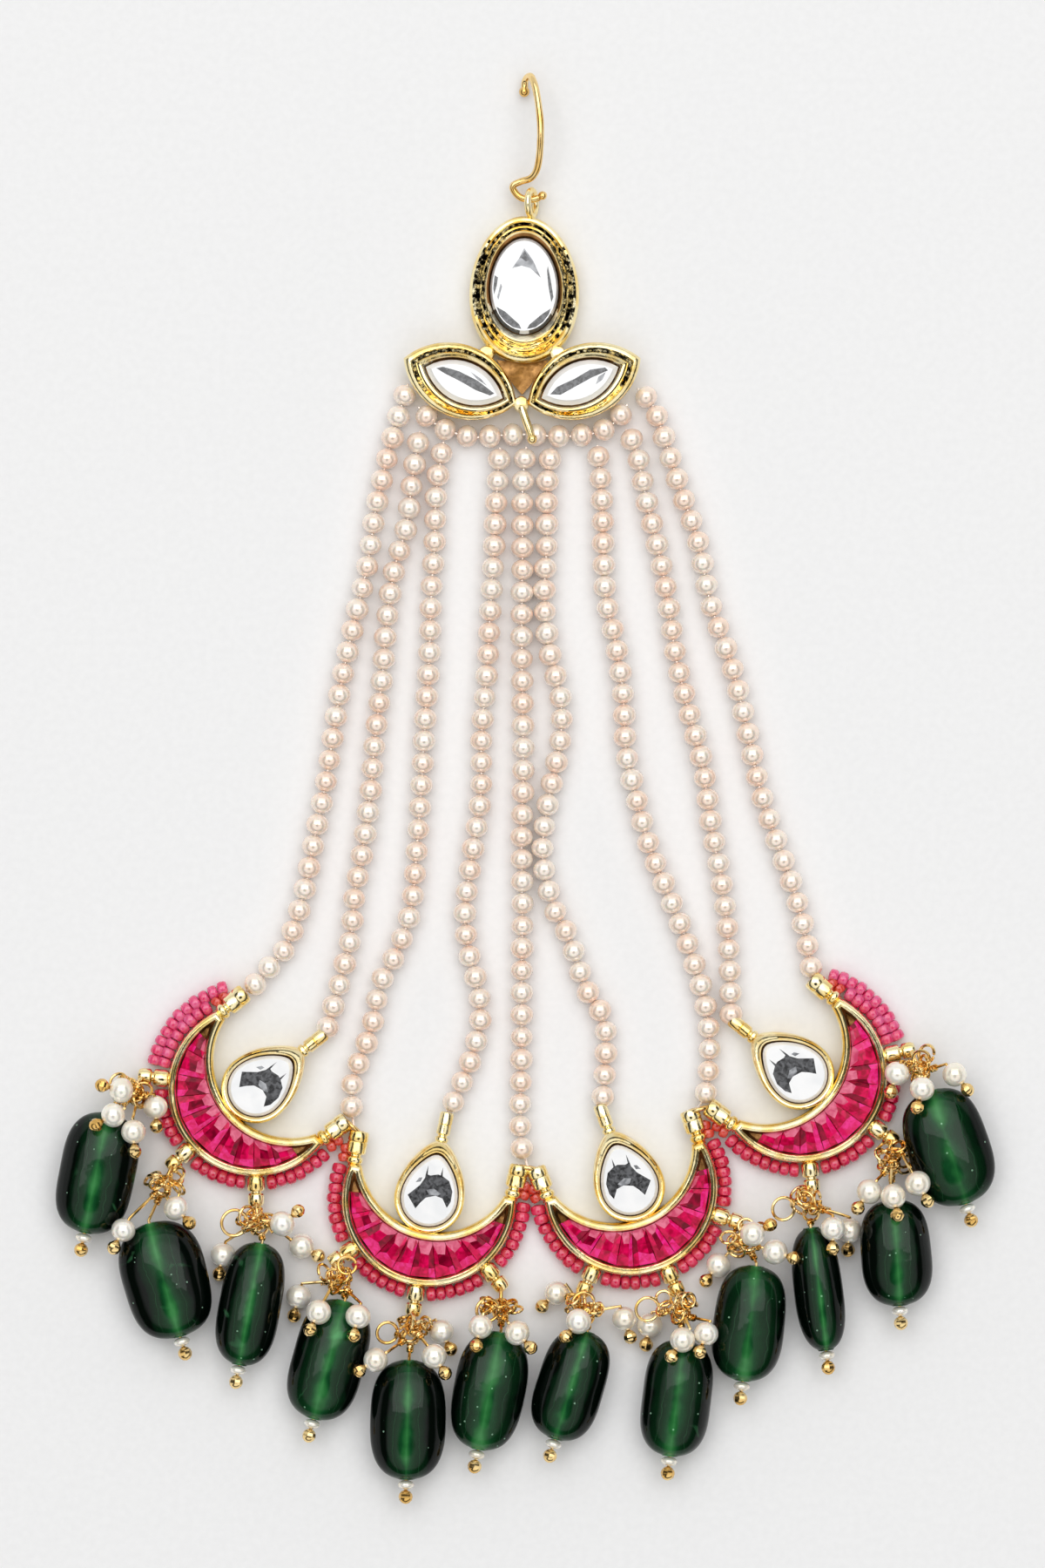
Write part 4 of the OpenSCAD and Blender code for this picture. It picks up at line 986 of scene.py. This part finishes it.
for k in range(1, 5):
    def inner_tone(a, k=k):
        flank = (k == 1 and a < -141) or (k == 4 and a > -32)
        return PINK if flank else RED

    work = Work()
    for low, high in SEED_SPANS:
        seed_arc(work, k, SEED_ROW_R, low, high, 1.0, inner_tone)
    if k in OUTER_SPANS:
        low, high = OUTER_SPANS[k]
        seed_arc(work, k, OUTER_ROW_R, low, high, 0.9, lambda a: PINK)
    # orange-red beads that hide the thread's knot under each horn bail
    for side in (-1, 1):
        for s, off in ((0.55, 1.25), (1.6, 1.2)):
            at = np.array([side * (HORN_X + off), HORN_CUT + s, 1.15])
            small = [(t * 0.9, r * 0.86) for t, r in SEED]
            work.add(turning(small, at, (side * 0.3, 1, 0.1), 14, closed=True), ORANGE,
                     lambda p, k=k: on_crescent(k, p))
    work.piece(f"seed_beads_{k}", [seed_red, seed_pink, seed_orange], "red_seed", [f"seed_string_{k}"])

# Rings and headpins

work = Work()
for left, right in JOINS:
    p, q = horn_eye(left, 1), horn_eye(right, -1)
    way = unit(q - p)
    radius = np.linalg.norm(q - p) / 2
    work.add(wire_ring(lift((p + q) / 2, BAIL_Z), (-way[1], way[0], 0), radius, RING_WIRE / 2, 12, 48))
work.piece("join_loops", [wire_gold], "gold", ["join_rings"])


def drop_eye_at(k, j):
    """Where the ring of drop j runs through its bail on crescent k."""
    return on_crescent(k, polar(DROP_EYE, DROP_ANGLES[j - 1]))


def hang_way(k, j):
    """The way that a drop hangs from its bail."""
    row = GREEN[3 * (k - 1) + j - 1]
    return unit(np.array(row[2:4]) - drop_eye_at(k, j))


def ring_middle(k, j):
    """The middle of a drop's ring."""
    return lift(drop_eye_at(k, j) + RING_R * hang_way(k, j), BAIL_Z)


work = Work()
for k in range(1, 5):
    for j in range(1, 4):
        way = hang_way(k, j)
        across = np.array([-way[1], way[0], 0])
        work.add(wire_ring(ring_middle(k, j), across, RING_R, RING_WIRE / 2, 12, 48))
        # slack loops left from the winding lie about the ring
        for _ in range(SLACK_LOOPS):
            along = lift(way * random.uniform(-0.7, 1.5), 0)
            aside = random.uniform(-1.7, 1.7) * across
            at = ring_middle(k, j) + along + aside + [0, 0, random.uniform(0.4, 2.6)]
            axis = (random.uniform(-1, 1), random.uniform(-1, 1), random.uniform(0.2, 1.0))
            work.add(wire_ring(at, axis, random.uniform(0.75, 1.1), 0.18, 8, 28, gap=random.choice([0, 25])))
for x, y, z, r in LOOSE_LOOPS:
    work.add(wire_ring((x, y, z), (0.25, -0.15, 1), r, 0.19, 10, 40, gap=18))
work.piece("drop_loops", [wire_gold], "gold", ["drop_rings"])


def headpin(work, k, j, place, points):
    """A headpin: its loop round the drop ring, up to three wraps under it, then the wire to its ball."""
    hang = lift(hang_way(k, j), 0)
    c, s = math.cos(math.radians(place)), math.sin(math.radians(place))
    out = hang * c + np.array([0, 0, s])
    across = np.cross(UP, hang)
    on_ring = ring_middle(k, j) + RING_R * out
    v = np.asarray(points[0]) - on_ring
    way = unit((v @ out) * out + (v @ across) * across)
    middle = on_ring + LOOP_HANG * way
    work.add(wire_ring(middle, np.cross(out, across), LOOP_R, PIN_WIRE / 2, 8, 32))
    neck = middle + (LOOP_R + 0.02) * way
    route = [neck] + [np.asarray(p, float) for p in points]
    run = unit(route[1] - route[0])
    length = np.linalg.norm(route[1] - route[0])
    if length > 0.5:
        side, up = axes(run)
        turns = min(3, int(length / 0.3))
        t = np.linspace(0, 1, turns * 12 + 1)
        coil = [neck + run * (0.12 + u * 0.28 * turns) + 0.3 * (math.cos(u * turns * 2 * math.pi) * side
                + math.sin(u * turns * 2 * math.pi) * up) for u in t]
        work.add(drawn_wire(coil, WRAP_R, 6))
    dense = [route[0]]
    for p, q in zip(route, route[1:]):
        steps = max(2, int(np.linalg.norm(q - p) / 0.8))
        dense += [p + (q - p) * i / steps for i in range(1, steps + 1)]
    work.add(drawn_wire(dense, PIN_WIRE / 2, 8, end_ball=BALL_D / 2))


def bead_way(row):
    """From a green bead's top end towards the ball below it."""
    return lift(unit([row[4] - row[2], row[5] - row[3]]), 0)


def bead_top(row):
    """The top end of a green bead's hole."""
    return np.array([row[2], row[3], GLASS_Z])


work, tips = Work(), Work()
for row in GREEN:
    way = bead_way(row)
    pearl = bead_top(row) + (row[6] + END_PEARL_D / 2 + 0.05) * way
    end = pearl + (END_PEARL_D / 2 + BALL_D / 2 + 0.05) * way
    headpin(work, row[0], row[1], -2, [bead_top(row) - 0.3 * way, end])
    tips.add(bead(pearl, 0.95, way, 20, 9, bore=0.24, squash=0.56))
work.piece("drop_headpins", [wire_gold], "gold", ["drop_pins"])
tips.piece("end_button_pearls", [white_pearl], "white_pearl", ["end_pearls"])

for k in range(1, 5):
    pins, pearls = Work(), Work()
    for row in CLUSTER:
        if row[0] != k:
            continue
        at = np.array(row[3:6], float)
        way = unit(np.array(row[6:9]) - at)
        pearls.add(bead(at, PEARL_D / 2 * random.uniform(0.97, 1.02), way, 26, 15, bore=0.3,
                        squash=random.uniform(0.94, 1.0)))
        reach = PEARL_D / 2 + BALL_D / 2 + 0.05
        headpin(pins, k, row[1], row[2], [at - way * (PEARL_D / 2 + 0.1), at + way * reach])
    pins.piece(f"cluster_headpins_{k}", [wire_gold], "gold", [f"cluster_pins_{k}"])
    pearls.piece(f"cluster_round_pearls_{k}", [white_pearl], "white_pearl", [f"cluster_pearls_{k}"])

# Green glass


def swell(s):
    """A green bead's share of its full width, at a share of its length."""
    return (1 - abs(2 * s - 1) ** 3.1) ** 0.42


for b, row in enumerate(GREEN, 1):
    way, top = bead_way(row), bead_top(row)
    side = np.cross(UP, way)
    length, half_w = row[6], row[7] / 2
    shape = random.Random(b)
    phase = [shape.uniform(0, 6.28) for _ in range(4)]
    rings = []
    a = np.arange(GLASS_SIDES) * 2 * math.pi / GLASS_SIDES
    for s in (1 - np.cos(np.linspace(0.06, math.pi - 0.06, GLASS_ROWS))) / 2:
        fat = swell(s) * (1 + 0.012 * math.sin(7 * s + phase[0]))
        bump = 1 + 0.012 * np.cos(3 * a + phase[1] + 2 * s) + 0.008 * np.cos(7 * a + phase[2])
        w = max(half_w * fat, 0.9)
        t = max(GLASS_HALF_T * fat, 0.9)
        rings.append(top + s * length * way + w * (np.cos(a) * bump)[:, None] * side
                     + t * (np.sin(a) * bump)[:, None] * UP)
    for s, r in ((1.0, 0.62), (0.985, 0.52), (0.5, 0.5), (0.015, 0.52), (0.0, 0.62)):
        rings.append(top + s * length * way + r * (np.cos(a)[:, None] * side + np.sin(a)[:, None] * UP))
    points, faces = loft(rings, closed=True)
    bore = [int(min(f) >= GLASS_ROWS * GLASS_SIDES) for f in faces]
    work = Work()
    work.add((points, faces, bore))
    drop = work.piece(f"glass_drop_{b}", [green_glass, frosted_and_lit_bore], "green_glass", [f"green_bead_{b}"],
                      crease=60)
    off_core = np.abs((points - top) @ side) / half_w * shape.uniform(0.9, 1.5)
    drop.data.attributes.new("off_core", "FLOAT", "POINT").data.foreach_set("value", off_core)

# Paper, light, camera

CARD_HALF = 3.0
CARD_Z = -0.0001
paper_mesh = bpy.data.meshes.new("backdrop_card")
corners = [(x * CARD_HALF, y * CARD_HALF, CARD_Z) for x, y in ((-1, -1), (1, -1), (1, 1), (-1, 1))]
paper_mesh.from_pydata(corners, [], [(0, 1, 2, 3)])
paper_mesh.materials.append(backdrop_paper("matt_white_card"))
paper = bpy.data.objects.new("backdrop_card", paper_mesh)
bpy.context.scene.collection.objects.link(paper)

SOFTBOX_AT = (0.0, 1.0, 1.96)
lamp = bpy.data.lights.new("softbox_above", "AREA")
lamp.shape = "RECTANGLE"
lamp.size = 3.0
lamp.size_y = 2.4
lamp.energy = 33.6
softbox = bpy.data.objects.new("softbox_above", lamp)
softbox.location = SOFTBOX_AT
softbox.rotation_euler = (-Vector(SOFTBOX_AT)).to_track_quat("-Z", "Y").to_euler()
bpy.context.scene.collection.objects.link(softbox)

world = bpy.data.worlds.new("studio")
bpy.context.scene.world = world
world.use_nodes = True
world.node_tree.nodes.clear()
spot = add(world.node_tree, "ShaderNodeTexCoord").outputs["Generated"]
# seen from the table: a dark camera and stand near the zenith, a bright ceiling round them, a dark
# band of unlit studio and pale walls; gold, pearls and foiled stones mirror them all
above = add(world.node_tree, "ShaderNodeVectorMath", {"operation": "DOT_PRODUCT", 1: (0.0, -0.28, 0.96)},
            {0: spot})
sky = add(world.node_tree, "ShaderNodeValToRGB", {"stops": [
    (0.0, "#D8D8D8"), (0.2, "#D8D8D8"), (0.32, "#3C3A38"), (0.58, "#454341"), (0.7, "#E8E8E8"),
    (0.955, "#FFFFFF"), (0.98, "#242220"), (1.0, "#242220")]}, {"Fac": above.outputs["Value"]})
light = add(world.node_tree, "ShaderNodeBackground", {"Strength": 1.06}, {"Color": sky.outputs["Color"]})
add(world.node_tree, "ShaderNodeOutputWorld", links={"Surface": light.outputs["Background"]})

lens = bpy.data.cameras.new("overhead_camera")
lens.sensor_fit = "VERTICAL"
lens.sensor_height = 36
lens.sensor_width = 24
lens.lens = 200
camera = bpy.data.objects.new("overhead_camera", lens)
camera.location = (-0.0004, 0.00025, 1.0020)
bpy.context.scene.collection.objects.link(camera)
bpy.context.scene.camera = camera
bpy.context.scene.view_settings.view_transform = "Standard"
